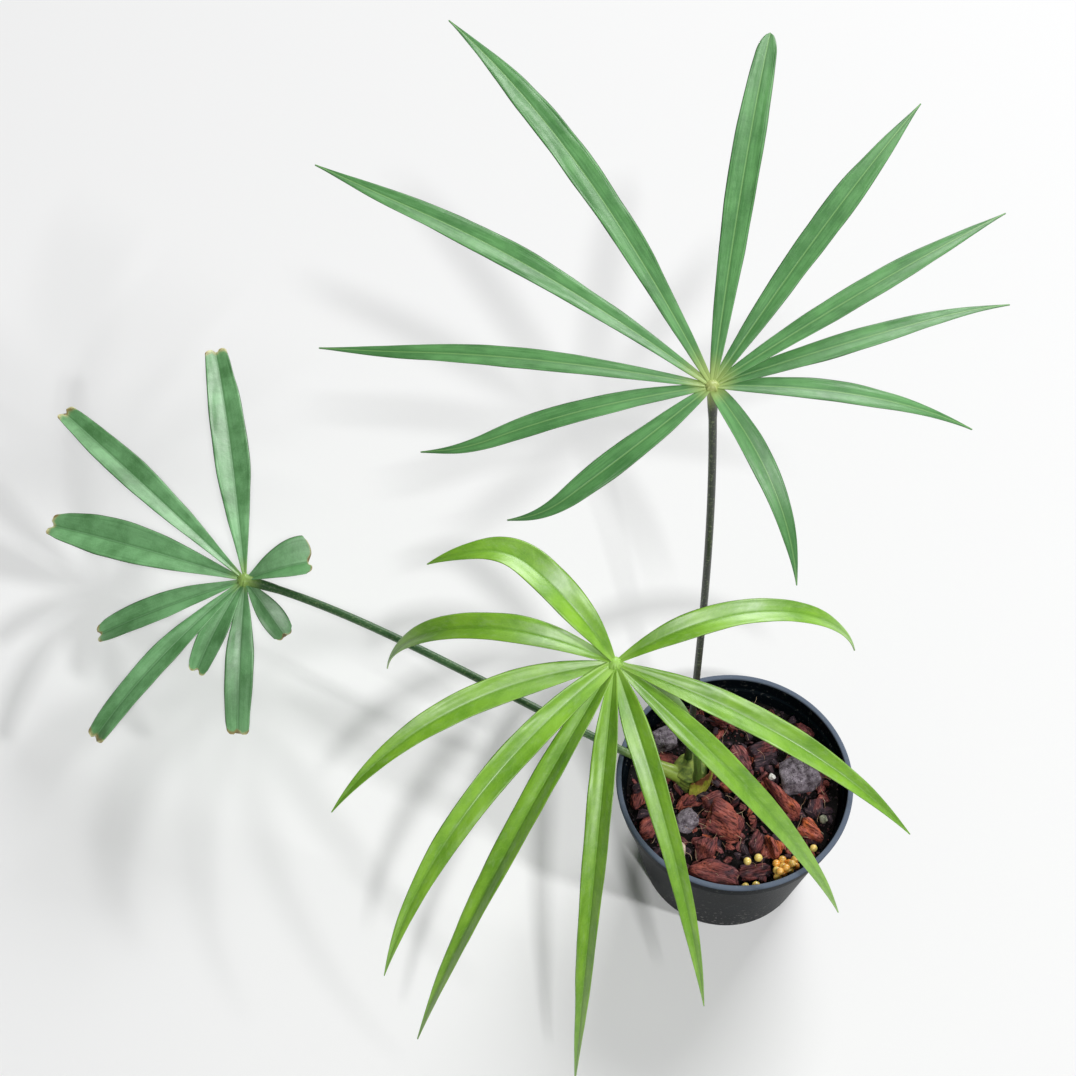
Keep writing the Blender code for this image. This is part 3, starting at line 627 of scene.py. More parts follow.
ring = put(t, "GeometryNodeCurvePrimitiveCircle", {"Resolution": 5, "Radius": start["Radius"]})
inputs = {0: bent, 1: ring.outputs[0], "Fill Caps": True}
rods = wire(t, "GeometryNodeCurveToMesh", inputs)
end_tree(t, rods)

fibres = new_mesh("mix_fibres", [], [])
fibres.data = fines.data.copy()
for vertex in fibres.data.vertices:
    vertex.co.z += 4 * MM
    vertex.co.xy *= 0.86
grow(fibres, t, dry_root)
smooth(fibres)
fit(fibres, "bark_mix", "potting_mix")


# The stones on the mix: three lumps of grey-purple lava rock, full of gas pits, a speckled cream pebble,
# a grey-green one, and two grains of white puffed perlite. Each keeps the faces of its solid.
def stone_finish(name, scale, dark, light, specks):
    """Mottled rock, with painted shade darkening its hollows, and a few specks of another colour."""
    finish, tree, shader = new_finish(name, {"Specular IOR Level": 0.3})
    place = on_object(tree)
    clouds = mottle(tree, place, scale, 5, 0.65)
    pits = put(tree, "ShaderNodeTexVoronoi", {"Vector": place, "Scale": scale * 3.2}).outputs["Distance"]
    base = tint(tree, ramp(tree, clouds, 0.3, 0.7), dark, light)
    base = tint(tree, ramp(tree, mottle(tree, place, scale * 5, 2), 0.62, 0.7, 0.0, 0.8), base, specks)
    # The hollows of the relief are painted darker: painted shade.
    base = tint(tree, ramp(tree, pits, 0.1, 0.32, 0.7, 0.0), base, dark)
    height = plus(tree, clouds, ramp(tree, pits, 0.05, 0.35))
    feed(tree, shader, base, ramp(tree, clouds, 0, 1, 0.95, 0.75), height, 0.35 * MM)
    return finish


lava = stone_finish("lava", 330,
                    colour(60, 50, 58), colour(150, 140, 150), colour(180, 172, 178))
cream = stone_finish("cream_rock", 260,
                     colour(146, 124, 106), colour(212, 196, 176), colour(108, 76, 58))
green = stone_finish("green_rock", 400,
                     colour(112, 116, 96), colour(176, 178, 156), colour(90, 92, 74))
puffed = stone_finish("puffed", 500,
                      colour(196, 194, 186), colour(250, 249, 245), colour(255, 255, 252))


def pitted(point, seed, pits_per_metre, depth):
    """Round pits of many sizes, where a point is near the middle of a cell, on a lumpy ground."""
    distances, middles = noise.voronoi(point * pits_per_metre + Vector((seed, 0, 0)))
    size = 0.08 + 0.42 * noise.cell(middles[0] * 7.3) ** 2
    pit = max(0.0, 1 - distances[0] / size) ** 0.8
    return depth * (0.8 * noise.fractal(point * pits_per_metre * 0.5, 0.9, 2, 5) - pit)


# Each row holds the node, finish, slot, how crisp its edges are, pits in a metre, and their depth.
STONES = [
    ("lava_rock_right", lava, "lava_rock", 45, 420, 0.9 * MM),
    ("lava_rock_left", lava, "lava_rock", 45, 450, 0.8 * MM),
    ("lava_rock_front", lava, "lava_rock", 45, 470, 0.8 * MM),
    ("pebble_cream", cream, "cream_stone", 7, 500, 0.15 * MM),
    ("pebble_green", green, "green_stone", 7, 600, 0.1 * MM),
    ("perlite_back", puffed, "perlite", 9, 900, 0.35 * MM),
    ("perlite_middle", puffed, "perlite", 9, 900, 0.35 * MM),
]
for seed, (node, finish, slot, crispness, pits_per_metre, depth) in enumerate(STONES):
    solid = bmesh.new()
    solid.from_mesh(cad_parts[node].data)
    bmesh.ops.remove_doubles(solid, verts=solid.verts, dist=0.01 * MM)
    work = round_lump(planes_of(solid), 5, crispness)
    middle = sum((v.co for v in work.verts), Vector()) / len(work.verts)
    for vertex in work.verts:
        relief = pitted(vertex.co, seed, pits_per_metre, depth)
        vertex.co += (vertex.co - middle).normalized() * relief
    stone = new_mesh(node + "_rock", [], [], finish)
    work.to_mesh(stone.data)
    work.free()
    smooth(stone, 60)
    fit(stone, slot, node)


# The prills are beads of slow-release fertiliser, each a clear amber resin skin round a paler core. Most
# lie in one heap against the lip, and a few have rolled off over the bark.
PRILL_RADIUS = 1.75 * MM
PRILL_PITCH = 3.12 * MM
PRILL_HEAP = Vector((20.5, -35, 66.4)) * MM
PRILL_HEADING = math.radians(32)
PRILL_ROWS = ((-2, 1, -1), (-1.5, 1.5, 0), (-1, 0, 1))
PRILLS_ON_TOP = ((-1.5, -0.577), (-0.5, -0.577), (0.5, -0.577))
LOOSE_PRILLS = (
    (4.2, -34.5, 69),
    (8.8, -33.1, 69.4),
    (32.1, -28.6, 68.8),
    (7.5, -44.3, 67),
    (3, -44.8, 66.5),
)

prill_coat, tree, shader = new_finish("prill_coat", {
    "Subsurface Weight": 0.35,
    "Subsurface Radius": (1.0, 0.6, 0.2),
    "Subsurface Scale": 0.8 * MM,
    "Coat Weight": 0.6,
    "Coat Roughness": 0.12,
})
place = on_object(tree)
tone = held(tree, "tone")
clouds = mottle(tree, place, 600)
base = tint(tree, tone, colour(236, 212, 120), colour(228, 140, 22))
base = tint(tree, ramp(tree, clouds, 0.45, 0.8, 0.0, 0.35), base, colour(248, 226, 150))
feed(tree, shader, base, ramp(tree, clouds, 0, 1, 0.25, 0.5), clouds, 0.08 * MM)

heap = []
for first, last, row in PRILL_ROWS:
    heap += [Vector((first + k, row * math.sqrt(0.75), 0)) for k in range(int(last - first) + 1)]
heap += [Vector((along, across, math.sqrt(2 / 3))) for along, across in PRILLS_ON_TOP]
turn = Euler((0, 0, PRILL_HEADING)).to_matrix()
beads = [PRILL_HEAP + turn @ (spot * PRILL_PITCH) for spot in heap]
beads += [Vector(spot) * MM for spot in LOOSE_PRILLS]
prills = new_mesh("prills", beads, [])
draw = random.Random(8)
mark(prills, "tone", [draw.uniform(0.2, 1) for _ in heap] + [0.05] * len(LOOSE_PRILLS))
t, start, _ = new_tree("prills", {
    "Spots": ("Geometry", None),
    "Radius": ("Float", PRILL_RADIUS),
    "Seed": ("Int", 4),
    "Finish": ("Material", None),
})
spots = wire(t, "GeometryNodeMeshToPoints", {"Mesh": start["Spots"]})
ball = wire(t, "GeometryNodeMeshIcoSphere", {"Radius": start["Radius"], "Subdivisions": 5})
inputs = {
    "Points": spots,
    "Instance": ball,
    "Rotation": tumbled(t, 31),
    "Scale": random_value(t, (0.9, 0.9, 0.88), (1.03, 1.0, 1.0), start["Seed"], "FLOAT_VECTOR"),
}
balls = wire(t, "GeometryNodeInstanceOnPoints", inputs)
real = wire(t, "GeometryNodeRealizeInstances", {0: balls})
end_tree(t, real)
grow(prills, t, prill_coat)
smooth(prills)
fit(prills, "prill_coat", "fertiliser_prills")


# The stem is the plant's short crown: a stubby green rod with ring scars of fallen leaves, from which
# the petioles rise. Its foot goes down into the mix.
STEM_AXIS = Vector((-18, 7, 0)) * MM
STEM_RADIUS = 7.6 * MM
STEM_HEIGHTS = (48, 56, 63, 68, 72, 73.5)
STEM_SHARES = (0.55, 0.8, 0.92, 1.0, 0.9, 0.55)

stem_skin, tree, shader = new_finish("stem_skin", {"Specular IOR Level": 0.4})
place = on_object(tree)
clouds = mottle(tree, place, 260, 4, 0.6)
rings = mottle(tree, stretched(tree, place, 0.25, 0.25, 1), 900, 2)
base = tint(tree, ramp(tree, clouds, 0.3, 0.65), colour(74, 98, 40), colour(150, 168, 74))
base = tint(tree, ramp(tree, clouds, 0.6, 0.8, 0.0, 0.7), base, colour(120, 84, 50))
base = tint(tree, ramp(tree, rings, 0.5, 0.65, 0.0, 0.4), base, colour(60, 66, 30))
feed(tree, shader, base, ramp(tree, clouds, 0, 1, 0.6, 0.8), rings, 0.25 * MM)

stem_rows = 40
stem_profile = [(0, STEM_HEIGHTS[0] * MM)]
for k in range(stem_rows + 1):
    height = STEM_HEIGHTS[0] + (STEM_HEIGHTS[-1] - STEM_HEIGHTS[0]) * k / stem_rows
    radius = float(np.interp(height, STEM_HEIGHTS, STEM_SHARES)) * STEM_RADIUS
    stem_profile.append((radius, height * MM))
stem_profile.append((0, STEM_HEIGHTS[-1] * MM))
stem = turned("crown", stem_profile, 64, stem_skin)
for vertex in stem.data.vertices:
    scar = 0.25 * MM * math.sin(vertex.co.z / MM * 2.2) + 0.5 * MM * noise.noise(vertex.co * 240)
    vertex.co += Vector((vertex.co.x, vertex.co.y, 0)).normalized() * scar + STEM_AXIS
smooth(stem)
fit(stem, "stem_skin", "stem")


# The cataphyll is the thin bract that wrapped the newest leaf, now drying back from its ragged top edge:
# yellow-green at the foot, brown and papery above.
BRACT_FIRST = -95
BRACT_LAST = 40
BRACT_FOOT = 60 * MM
BRACT_TOP = 72 * MM
BRACT_CREST = 4 * MM
BRACT_THICKNESS = 0.8 * MM
BRACT_GAP = 0.45 * MM

dry_bract, tree, shader = new_finish("dry_bract", {"Specular IOR Level": 0.3, "Subsurface Weight": 0.1})
shader.inputs["Subsurface Scale"].default_value = 1 * MM
place = on_object(tree)
height = height_of(tree, place)
clouds = mottle(tree, place, 230, 4, 0.6)
veins = mottle(tree, stretched(tree, place, 1, 1, 0.08), 2200, 3)
base = tint(tree, ramp(tree, clouds, 0.3, 0.7), colour(150, 162, 44), colour(206, 200, 86))
browned = plus(tree, clouds, ramp(tree, height, 66 * MM, 75 * MM, -0.2, 0.3))
base = tint(tree, ramp(tree, browned, 0.5, 0.72), base, colour(120, 78, 44))
base = tint(tree, ramp(tree, veins, 0.35, 0.5, 0.45, 0.0), base, colour(84, 72, 30))
feed(tree, shader, base, ramp(tree, clouds, 0, 1, 0.6, 0.85), veins, 0.2 * MM)


def wrap(name, columns, rows, first, last, foot, shape, finish):
    """A thin closed sheet round the stem. Shape gives its radius and top at a share of the way round."""
    vertices, faces = [], []
    for side in (0, 1):
        for j in range(rows + 1):
            for k in range(columns + 1):
                share, rise = k / columns, j / rows
                angle = math.radians(first + (last - first) * share)
                radius, top = shape(share, rise)
                radius += side * BRACT_THICKNESS * (1 - 0.6 * rise)
                height = foot + (top - foot) * rise
                spot = Vector((radius * math.cos(angle), radius * math.sin(angle), height))
                vertices.append(spot + STEM_AXIS)
    across = columns + 1
    outer = across * (rows + 1)
    for j in range(rows):
        for k in range(columns):
            a = j * across + k
            b = a + across
            faces += [(a, b, b + 1, a + 1), (outer + a, outer + a + 1, outer + b + 1, outer + b)]
    for k in range(columns):
        top = rows * across + k
        faces += [(k, k + 1, outer + k + 1, outer + k), (top, outer + top, outer + top + 1, top + 1)]
    for j in range(rows):
        a = j * across
        b = a + across
        faces += [(a, outer + a, outer + b, b)]
        faces += [(a + columns, b + columns, outer + b + columns, outer + a + columns)]
    return new_mesh(name, vertices, faces, finish)


def bract_shape(share, rise):
    """The bract's radius and top: it bulges a little, and its edge is ragged."""
    tears = 0.25 * noise.noise(Vector((share * 14, 0, 0)))
    crest = math.sin(math.pi * share) + 0.3 * math.sin(9 * share) + tears
    crumple = 0.35 * MM * noise.noise(Vector((share * 9, rise * 5, 2)))
    radius = STEM_RADIUS + BRACT_GAP + 0.9 * MM * math.sin(math.pi * rise) + crumple * rise
    return radius, BRACT_TOP + BRACT_CREST * crest


bract = wrap("bract", 60, 20, BRACT_FIRST, BRACT_LAST, BRACT_FOOT, bract_shape, dry_bract)
smooth(bract, 60)
fit(bract, "dry_bract", "cataphyll")


# Every leaf is one petiole with a fan of leaflets on its hub. A leaflet is a thin leathery blade, folded
# up a little along a midrib that stands out below as a rib, and its margins ripple slightly.

# In a leaflet's row, length and breadth are millimetres and angles are degrees. Belly is the share of
# the length where it is broadest, end the breadth left at a cut end, and fuller rounds its shoulder.
LEAFLET_FIELDS = "heading length breadth rise droop sweep roll fold belly end hook fuller"
Leaflet = namedtuple("Leaflet", LEAFLET_FIELDS, defaults=(0, 0))
# How full a leaf's leaflets are up to the belly and past it, where they hook, and if they are torn.
Outline = namedtuple("Outline", "shoulder tip bend cut")
BEND_LENGTH = 0.3
STALK = 0.75 * MM
STATIONS = 120
ACROSS = 11
THICKNESS = 0.55 * MM
RIPPLE = 1.1 * MM
WOBBLE = 0.22  # how unevenly a margin runs, as a share of the half breadth
RIB_AT_HUB = 0.85 * MM
RIB_AT_TIP = 0.16 * MM
CREASE = 0.35 * MM  # how wide the fold at a midrib is
CUT_FROM = 0.90  # the share of the length from which an old leaflet's end is torn
NOTCH = 1.6 * MM
CUT_CORNERS = 1.8 * MM
RAGGED = 2 * MM
RIB_SHORT = 2.5 * MM


def half_breadth(leaflet, outline, share):
    """Half the breadth of a flat leaflet at a share of its length."""
    shoulder = outline.shoulder * (1 - 0.5 * leaflet.fuller)
    swell = math.sin(math.pi / 2 * min(share / leaflet.belly, 1)) ** shoulder
    past = max(0.0, (share - leaflet.belly) / (1 - leaflet.belly))
    taper = 1 - (1 - leaflet.end) * past**2 if leaflet.end else (1 - past**2) ** outline.tip
    stalk = STALK * (1 - 0.7 * share)
    half = stalk + (leaflet.breadth * MM / 2 - stalk) * swell * taper
    if leaflet.end and not outline.cut:
        half *= math.sqrt(1 - max(0.0, (share - 0.93) / 0.07) ** 2)
    return half


def ease(value, low, high):
    """Goes smoothly from 0 to 1 while value goes from low to high."""
    share = min(max((value - low) / (high - low), 0), 1)
    return share * share * (3 - 2 * share)


def along_midrib(leaflet, outline, share):
    """The direction of a leaflet's midrib at a share of its length."""
    hook = leaflet.hook * ease(share, outline.bend, outline.bend + BEND_LENGTH)
    heading = math.radians(leaflet.heading + leaflet.sweep * share**1.5 + hook)
    tilt = math.radians(leaflet.rise - leaflet.droop * share**1.3)
    level = math.cos(tilt)
    return Vector((level * math.cos(heading), level * math.sin(heading), math.sin(tilt)))


def midribs(name, hub, leaflets, outline):
    """The midribs of a leaf as lines of points, which hold what the blades need."""
    spots, edges = [], []
    facts = {label: [] for label in ("share", "along", "half", "roll", "fold", "trim", "leaflet")}
    for number, leaflet in enumerate(leaflets):
        here = hub.copy()
        step = leaflet.length * MM / STATIONS
        for k in range(STATIONS + 1):
            if k:
                here += along_midrib(leaflet, outline, (k - 0.5) / STATIONS) * step
                edges.append((len(spots) - 1, len(spots)))
            share = k / STATIONS
            spots.append(here.copy())
            facts["share"].append(share)
            facts["along"].append(share * leaflet.length * MM)
            facts["half"].append(half_breadth(leaflet, outline, share))
            facts["roll"].append(math.radians(leaflet.roll))
            facts["fold"].append(math.radians(leaflet.fold))
            facts["trim"].append(1.0 if leaflet.end and outline.cut else 0.0)
            facts["leaflet"].append(float(number))
    made = new_mesh(name, spots, [], edges=edges)
    for label, values in facts.items():
        mark(made, label, values)
    return made


def kept(tree, name, kind="FLOAT"):
    """What the points hold under a name."""
    return wire(tree, "GeometryNodeInputNamedAttribute", {"Name": name}, data_type=kind)


def vectors(tree, operation, *values):
    return wire(tree, "ShaderNodeVectorMath", dict(enumerate(values)), operation=operation)


def scaled(tree, vector, amount):
    return wire(tree, "ShaderNodeVectorMath", {0: vector, 3: amount}, operation="SCALE")


blade_tree, start, _ = new_tree("blades", {
    "Midribs": ("Geometry", None),
    "Across": ("Int", ACROSS),
    "Thickness": ("Float", THICKNESS),
    "Ripple": ("Float", RIPPLE),
    "Wobble": ("Float", WOBBLE),
    "Rib at hub": ("Float", RIB_AT_HUB),
    "Rib at tip": ("Float", RIB_AT_TIP),
    "Finish": ("Material", None),
})
t = blade_tree
lines = wire(t, "GeometryNodeMeshToCurve", {0: start["Midribs"]})
lines = wire(t, "GeometryNodeSetCurveNormal", {0: lines}, mode="Z_UP")
lines = put(t, "GeometryNodeSetCurveTilt", {0: lines, "Tilt": kept(t, "roll")})
tangent = wire(t, "GeometryNodeInputTangent")
sideways = wire(t, "GeometryNodeInputNormal")
lines = store(t, lines.outputs[0], "ahead", tangent, "FLOAT_VECTOR")
lines = store(t, lines, "over", vectors(t, "CROSS_PRODUCT", sideways, tangent), "FLOAT_VECTOR")
lines = store(t, lines, "centre", wire(t, "GeometryNodeInputPosition"), "FLOAT_VECTOR")

# A flat ring of points, evenly spaced from edge to edge on both faces, is swept along each midrib.
count = times(t, start["Across"], 4)
ring = wire(t, "GeometryNodeCurvePrimitiveCircle", {"Resolution": count, "Radius": 1.0})
spot = put(t, "ShaderNodeSeparateXYZ", {0: wire(t, "GeometryNodeInputPosition")}).outputs
turned_by = maths(t, "ARCTAN2", maths(t, "ABSOLUTE", spot["Y"]), spot["X"])
side = minus(t, 1.0, maths(t, "DIVIDE", turned_by, math.pi / 2))
edge = minus(t, 1.0, maths(t, "POWER", maths(t, "ABSOLUTE", side), 6.0))
on_face = times(t, spot["Y"], -1000.0)
on_face = maths(t, "MINIMUM", maths(t, "MAXIMUM", on_face, -1.0), 1.0)
face = times(t, on_face, maths(t, "SQRT", edge))
ring = store(t, ring, "face", face)
ring = store(t, ring, "side", side)
flat_spot = wire(t, "ShaderNodeCombineXYZ", {"X": kept(t, "side")})
ring = wire(t, "GeometryNodeSetPosition", {0: ring, "Position": flat_spot})
inputs = {0: lines, 1: ring, "Scale": kept(t, "half"), "Fill Caps": True}
blades = wire(t, "GeometryNodeCurveToMesh", inputs)

# The flat blades are folded, rippled, trimmed and thickened.
centre, over, ahead = [kept(t, name, "FLOAT_VECTOR") for name in ("centre", "over", "ahead")]
side, half, share, fold, trim = [kept(t, name) for name in ("side", "half", "share", "fold", "trim")]
aside = maths(t, "ABSOLUTE", side)
distance = times(t, side, half)
from_midrib = maths(t, "SQRT", plus(t, times(t, distance, distance), CREASE**2))
lift = times(t, minus(t, from_midrib, CREASE), maths(t, "SINE", fold))
where = wire(t, "ShaderNodeCombineXYZ", {
    "X": times(t, kept(t, "along"), 38.0),
    "Y": times(t, side, 1.6),
    "Z": times(t, kept(t, "leaflet"), 5.3),
})
wave = put(t, "ShaderNodeTexNoise", {"Vector": where, "Scale": 1.0, "Detail": 1.5})
wobble = height_of(t, wave.outputs["Color"])
wave = minus(t, wave.outputs["Fac"], 0.5)
wobble = plus(t, times(t, minus(t, wobble, 0.5), start["Wobble"], aside), 1.0)
at_margin = times(t, maths(t, "POWER", aside, 1.5), 2.0)
breadth_share = maths(t, "MINIMUM", maths(t, "DIVIDE", half, 5 * MM), 1.0)
ripple = times(t, wave, at_margin, breadth_share, start["Ripple"])
half_thick = times(t, kept(t, "face"), times(t, start["Thickness"], 0.5))
upward = plus(t, lift, ripple, half_thick)
nearly_cut = times(t, ramp(t, share, CUT_FROM, 1.0), trim)
notch = ramp(t, times(t, side, side), 0.0, 0.12, 1.0, 0.0)
corners = maths(t, "POWER", aside, 5.0)
ragged = times(t, plus(t, wave, 0.2), RAGGED)
back = plus(t, times(t, notch, NOTCH), times(t, corners, CUT_CORNERS), ragged)
back = times(t, back, nearly_cut)
outward = vectors(t, "SUBTRACT", wire(t, "GeometryNodeInputPosition"), centre)
folded = vectors(t, "ADD", centre, scaled(t, outward, times(t, wobble, maths(t, "COSINE", fold))))
raised = vectors(t, "ADD", folded, scaled(t, over, upward))
trimmed = vectors(t, "SUBTRACT", raised, scaled(t, ahead, back))
blades = wire(t, "GeometryNodeSetPosition", {0: blades, "Position": trimmed})
blades = store(t, blades, "across", maths(t, "ABSOLUTE", distance))

# A round rib runs under each midrib. It is stout at the hub, where it makes the leaflet's own stalk.
ribbed = maths(t, "POWER", minus(t, 1.0, share), 1.7)
rib_size = minus(t, start["Rib at hub"], start["Rib at tip"])
rib_size = plus(t, start["Rib at tip"], times(t, ribbed, rib_size))
rib_ring = wire(t, "GeometryNodeCurvePrimitiveCircle", {"Resolution": 10, "Radius": 1.0})
lines = store(t, lines, "rib", rib_size)
rib = kept(t, "rib")
inputs = {0: lines, 1: rib_ring, "Scale": rib, "Fill Caps": True}
ribs = wire(t, "GeometryNodeCurveToMesh", inputs)
drop = scaled(t, over, times(t, rib, -0.75))
drop = vectors(t, "ADD", drop, scaled(t, ahead, times(t, nearly_cut, -RIB_SHORT)))
ribs = wire(t, "GeometryNodeSetPosition", {0: ribs, "Offset": drop})
both = put(t, "GeometryNodeJoinGeometry")
for part in (ribs, blades):
    t.links.new(part, both.inputs[0])
smoothed = wire(t, "GeometryNodeSetShadeSmooth", {0: both.outputs[0]})
end_tree(t, smoothed)

# The skin of a blade, shared by the three leaves: mottled green with a pale midrib, a vein along each
# margin, slanting side veins that quilt it slightly, a paler underside, and a thin brownish rim.
SKIN_COLOURS = ("Deep", "Light", "Vein", "Stalk", "Under", "Rim")
SKIN_AMOUNTS = {"Midrib": 0.4, "Side veins": 0.2, "Margin veins": 0.3, "Streaks": 0.3, "Painted sheen": 0.0,
                "Vein pitch": 4.5 * MM, "Dried": 0.0}
skin_inputs = {name: ("Color", None) for name in SKIN_COLOURS}
skin_inputs |= {name: ("Float", amount) for name, amount in SKIN_AMOUNTS.items()}
skin_outputs = {"Color": "Color", "Roughness": "Float", "Height": "Float"}
skin_tree, start, end = new_tree("blade_skin", skin_inputs, skin_outputs, "ShaderNodeTree")
t = skin_tree


share, along, across, leaflet_number = [held(t, n) for n in ("share", "along", "across", "leaflet")]
side = maths(t, "ABSOLUTE", held(t, "side"))
place = wire(t, "ShaderNodeCombineXYZ", {
    "X": along,
    "Y": times(t, held(t, "side"), 6 * MM),
    "Z": times(t, leaflet_number, 0.37),
})
clouds = mottle(t, place, 60, 3, 0.6)
grit = mottle(t, place, 1500, 3, 0.6)
cells = mottle(t, stretched(t, place, 1, 0.7, 1), 420, 4, 0.6)
streaks = mottle(t, stretched(t, place, 0.07, 1, 1), 1500, 3, 0.6)
blotched = plus(t, clouds, times(t, grit, 0.25))
base = tint(t, ramp(t, blotched, 0.4, 0.85), start["Deep"], start["Light"])
base = tint(t, times(t, ramp(t, streaks, 0.5, 0.68), start["Streaks"]), base, start["Light"])
dark_streaks = ramp(t, streaks, 0.32, 0.5, 1.0, 0.0)
base = tint(t, times(t, dark_streaks, start["Streaks"]), base, start["Deep"])
slant = minus(t, along, times(t, across, 1.3))
wander = times(t, minus(t, mottle(t, place, 160, 1), 0.5), 8 * MM)
turns = maths(t, "DIVIDE", plus(t, slant, wander), start["Vein pitch"])
tooth = maths(t, "ABSOLUTE", minus(t, maths(t, "FRACT", turns), 0.5))
side_vein = ramp(t, tooth, 0.0, 0.11, 1.0, 0.0)
within = times(t, ramp(t, side, 0.74, 0.84, 1.0, 0.0), ramp(t, share, 0.05, 0.16))
side_vein = times(t, side_vein, within)
margin_vein = ramp(t, maths(t, "ABSOLUTE", minus(t, side, 0.80)), 0.0, 0.045, 1.0, 0.0)
margin_vein = times(t, margin_vein, ramp(t, share, 0.05, 0.2))
midrib = ramp(t, across, 0.12 * MM, 0.4 * MM, 1.0, 0.0)
# A band along each side of the midrib is painted darker: painted shade in the fold's crease.
crease_shade = times(t, ramp(t, across, 0.4 * MM, 1.2 * MM, 1.0, 0.0), 0.6)
base = tint(t, crease_shade, base, start["Deep"])
base = tint(t, times(t, margin_vein, start["Margin veins"]), base, start["Deep"])
base = tint(t, times(t, side_vein, start["Side veins"]), base, start["Vein"])
base = tint(t, times(t, midrib, start["Midrib"]), base, start["Vein"])
# Pale whitish streaks are painted sheen: a painted highlight of the waxy coat, laid on as colour.
painted_sheen = mottle(t, stretched(t, place, 0.45, 1, 1), 480, 4, 0.65)
painted_sheen = times(t, ramp(t, painted_sheen, 0.5, 0.72), start["Painted sheen"])
base = tint(t, painted_sheen, base, colour(206, 224, 196))
base = tint(t, ramp(t, share, 0.01, 0.10, 0.9, 0.0), base, start["Stalk"])
below = ramp(t, held(t, "face"), -0.6, -0.1, 0.85, 0.0)
base = tint(t, below, base, start["Under"])
rim = ramp(t, side, 0.955, 0.995, 0.0, 0.75)
base = tint(t, times(t, rim, ramp(t, share, 0.04, 0.15)), base, start["Rim"])
spread = plus(t, times(t, side, 0.012), times(t, cells, 0.05))
dry = ramp(t, plus(t, share, spread), 1.0, 1.03)
dry = times(t, dry, start["Dried"])
straw = tint(t, ramp(t, cells, 0.4, 0.6), colour(228, 222, 164), colour(150, 132, 76))
base = tint(t, dry, base, straw)
t.links.new(base, end["Color"])
rough = plus(t, ramp(t, cells, 0.25, 0.75, 0.36, 0.52), times(t, dry, 0.25))
t.links.new(rough, end["Roughness"])
quilt = times(t, maths(t, "COSINE", times(t, turns, 2 * math.pi)), -0.25)
quilt = times(t, quilt, times(t, within, start["Side veins"]))
height = plus(t, times(t, cells, 0.4), quilt, times(t, times(t, streaks, start["Streaks"]), 0.6))
height = minus(t, height, times(t, midrib, 0.4))
height = minus(t, height, times(t, margin_vein, times(t, start["Margin veins"], 0.5)))
t.links.new(height, end["Height"])


def blade_finish(name, colours, constants):
    """A leaf's blade: the shared skin in this leaf's own colours, under a waxy coat."""
    finish, tree, shader = new_finish(name, constants)
    skin = put(tree, "ShaderNodeGroup", node_tree=skin_tree)
    for label, value in colours.items():
        skin.inputs[label].default_value = value
    feed(tree, shader, *[skin.outputs[k] for k in ("Color", "Roughness", "Height")], 0.22 * MM)
    return finish


def petiole_finish(name, low, middle, high):
    """A petiole's skin: one colour at the stem, one along the rod and one at the hub."""
    finish, tree, shader = new_finish(name, {"Specular IOR Level": 0.5, "Coat Weight": 0.15})
    share = held(tree, "share")
    place = on_object(tree)
    streaks = mottle(tree, place, 900, 4, 0.6)
    base = tint(tree, ramp(tree, share, 0.02, 0.2), low, middle)
    base = tint(tree, ramp(tree, share, 0.95, 1.0), base, high)
    base = tint(tree, ramp(tree, streaks, 0.5, 0.75, 0.0, 0.35), base, colour(170, 190, 130))
    feed(tree, shader, base, ramp(tree, streaks, 0, 1, 0.35, 0.55), streaks, 0.1 * MM)
    return finish


# The petiole is a round rod with a thicker sheath at its foot and a swollen knee under the hub, swept
# along one smooth curve.
Petiole = namedtuple("Petiole", "route radius sheath_radius sheath_length")
PETIOLE_STEPS = 120
KNEE_LENGTH = 16 * MM
KNEE_SWELL = 0.35

rod_tree, start, _ = new_tree("rod", {
    "Line": ("Geometry", None),
    "Sides": ("Int", 24),
    "Finish": ("Material", None),
})
line = wire(rod_tree, "GeometryNodeMeshToCurve", {0: start["Line"]})
ring = put(rod_tree, "GeometryNodeCurvePrimitiveCircle", {"Resolution": start["Sides"], "Radius": 1.0})
inputs = {0: line, 1: ring.outputs[0], "Scale": kept(rod_tree, "radius"), "Fill Caps": True}
rod = wire(rod_tree, "GeometryNodeCurveToMesh", inputs)
rod = wire(rod_tree, "GeometryNodeSetShadeSmooth", {0: rod})
end_tree(rod_tree, rod)


def bezier(points, share):
    a, b, c, d = points
    rest = 1 - share
    return a * rest**3 + b * 3 * rest**2 * share + c * 3 * rest * share**2 + d * share**3


def make_petiole(name, petiole, finish):
    route = [Vector(point) * MM for point in petiole.route]
    line = [bezier(route, k / PETIOLE_STEPS) for k in range(PETIOLE_STEPS + 1)]
    length = sum((line[k + 1] - line[k]).length for k in range(PETIOLE_STEPS))
    made = new_mesh(name, line, [], edges=[(k, k + 1) for k in range(PETIOLE_STEPS)])
    radii, shares = [], []
    for k in range(PETIOLE_STEPS + 1):
        share = k / PETIOLE_STEPS
        sheath = max(0.0, 1 - share * length / (petiole.sheath_length * MM)) ** 0.7
        knee = max(0.0, 1 - (1 - share) * length / KNEE_LENGTH) ** 0.5
        radii.append((petiole.radius + (petiole.sheath_radius - petiole.radius) * sheath
                      + petiole.radius * KNEE_SWELL * knee) * MM)
        shares.append(share)
    mark(made, "radius", radii)
    mark(made, "share", shares)
    return grow(made, rod_tree, finish)


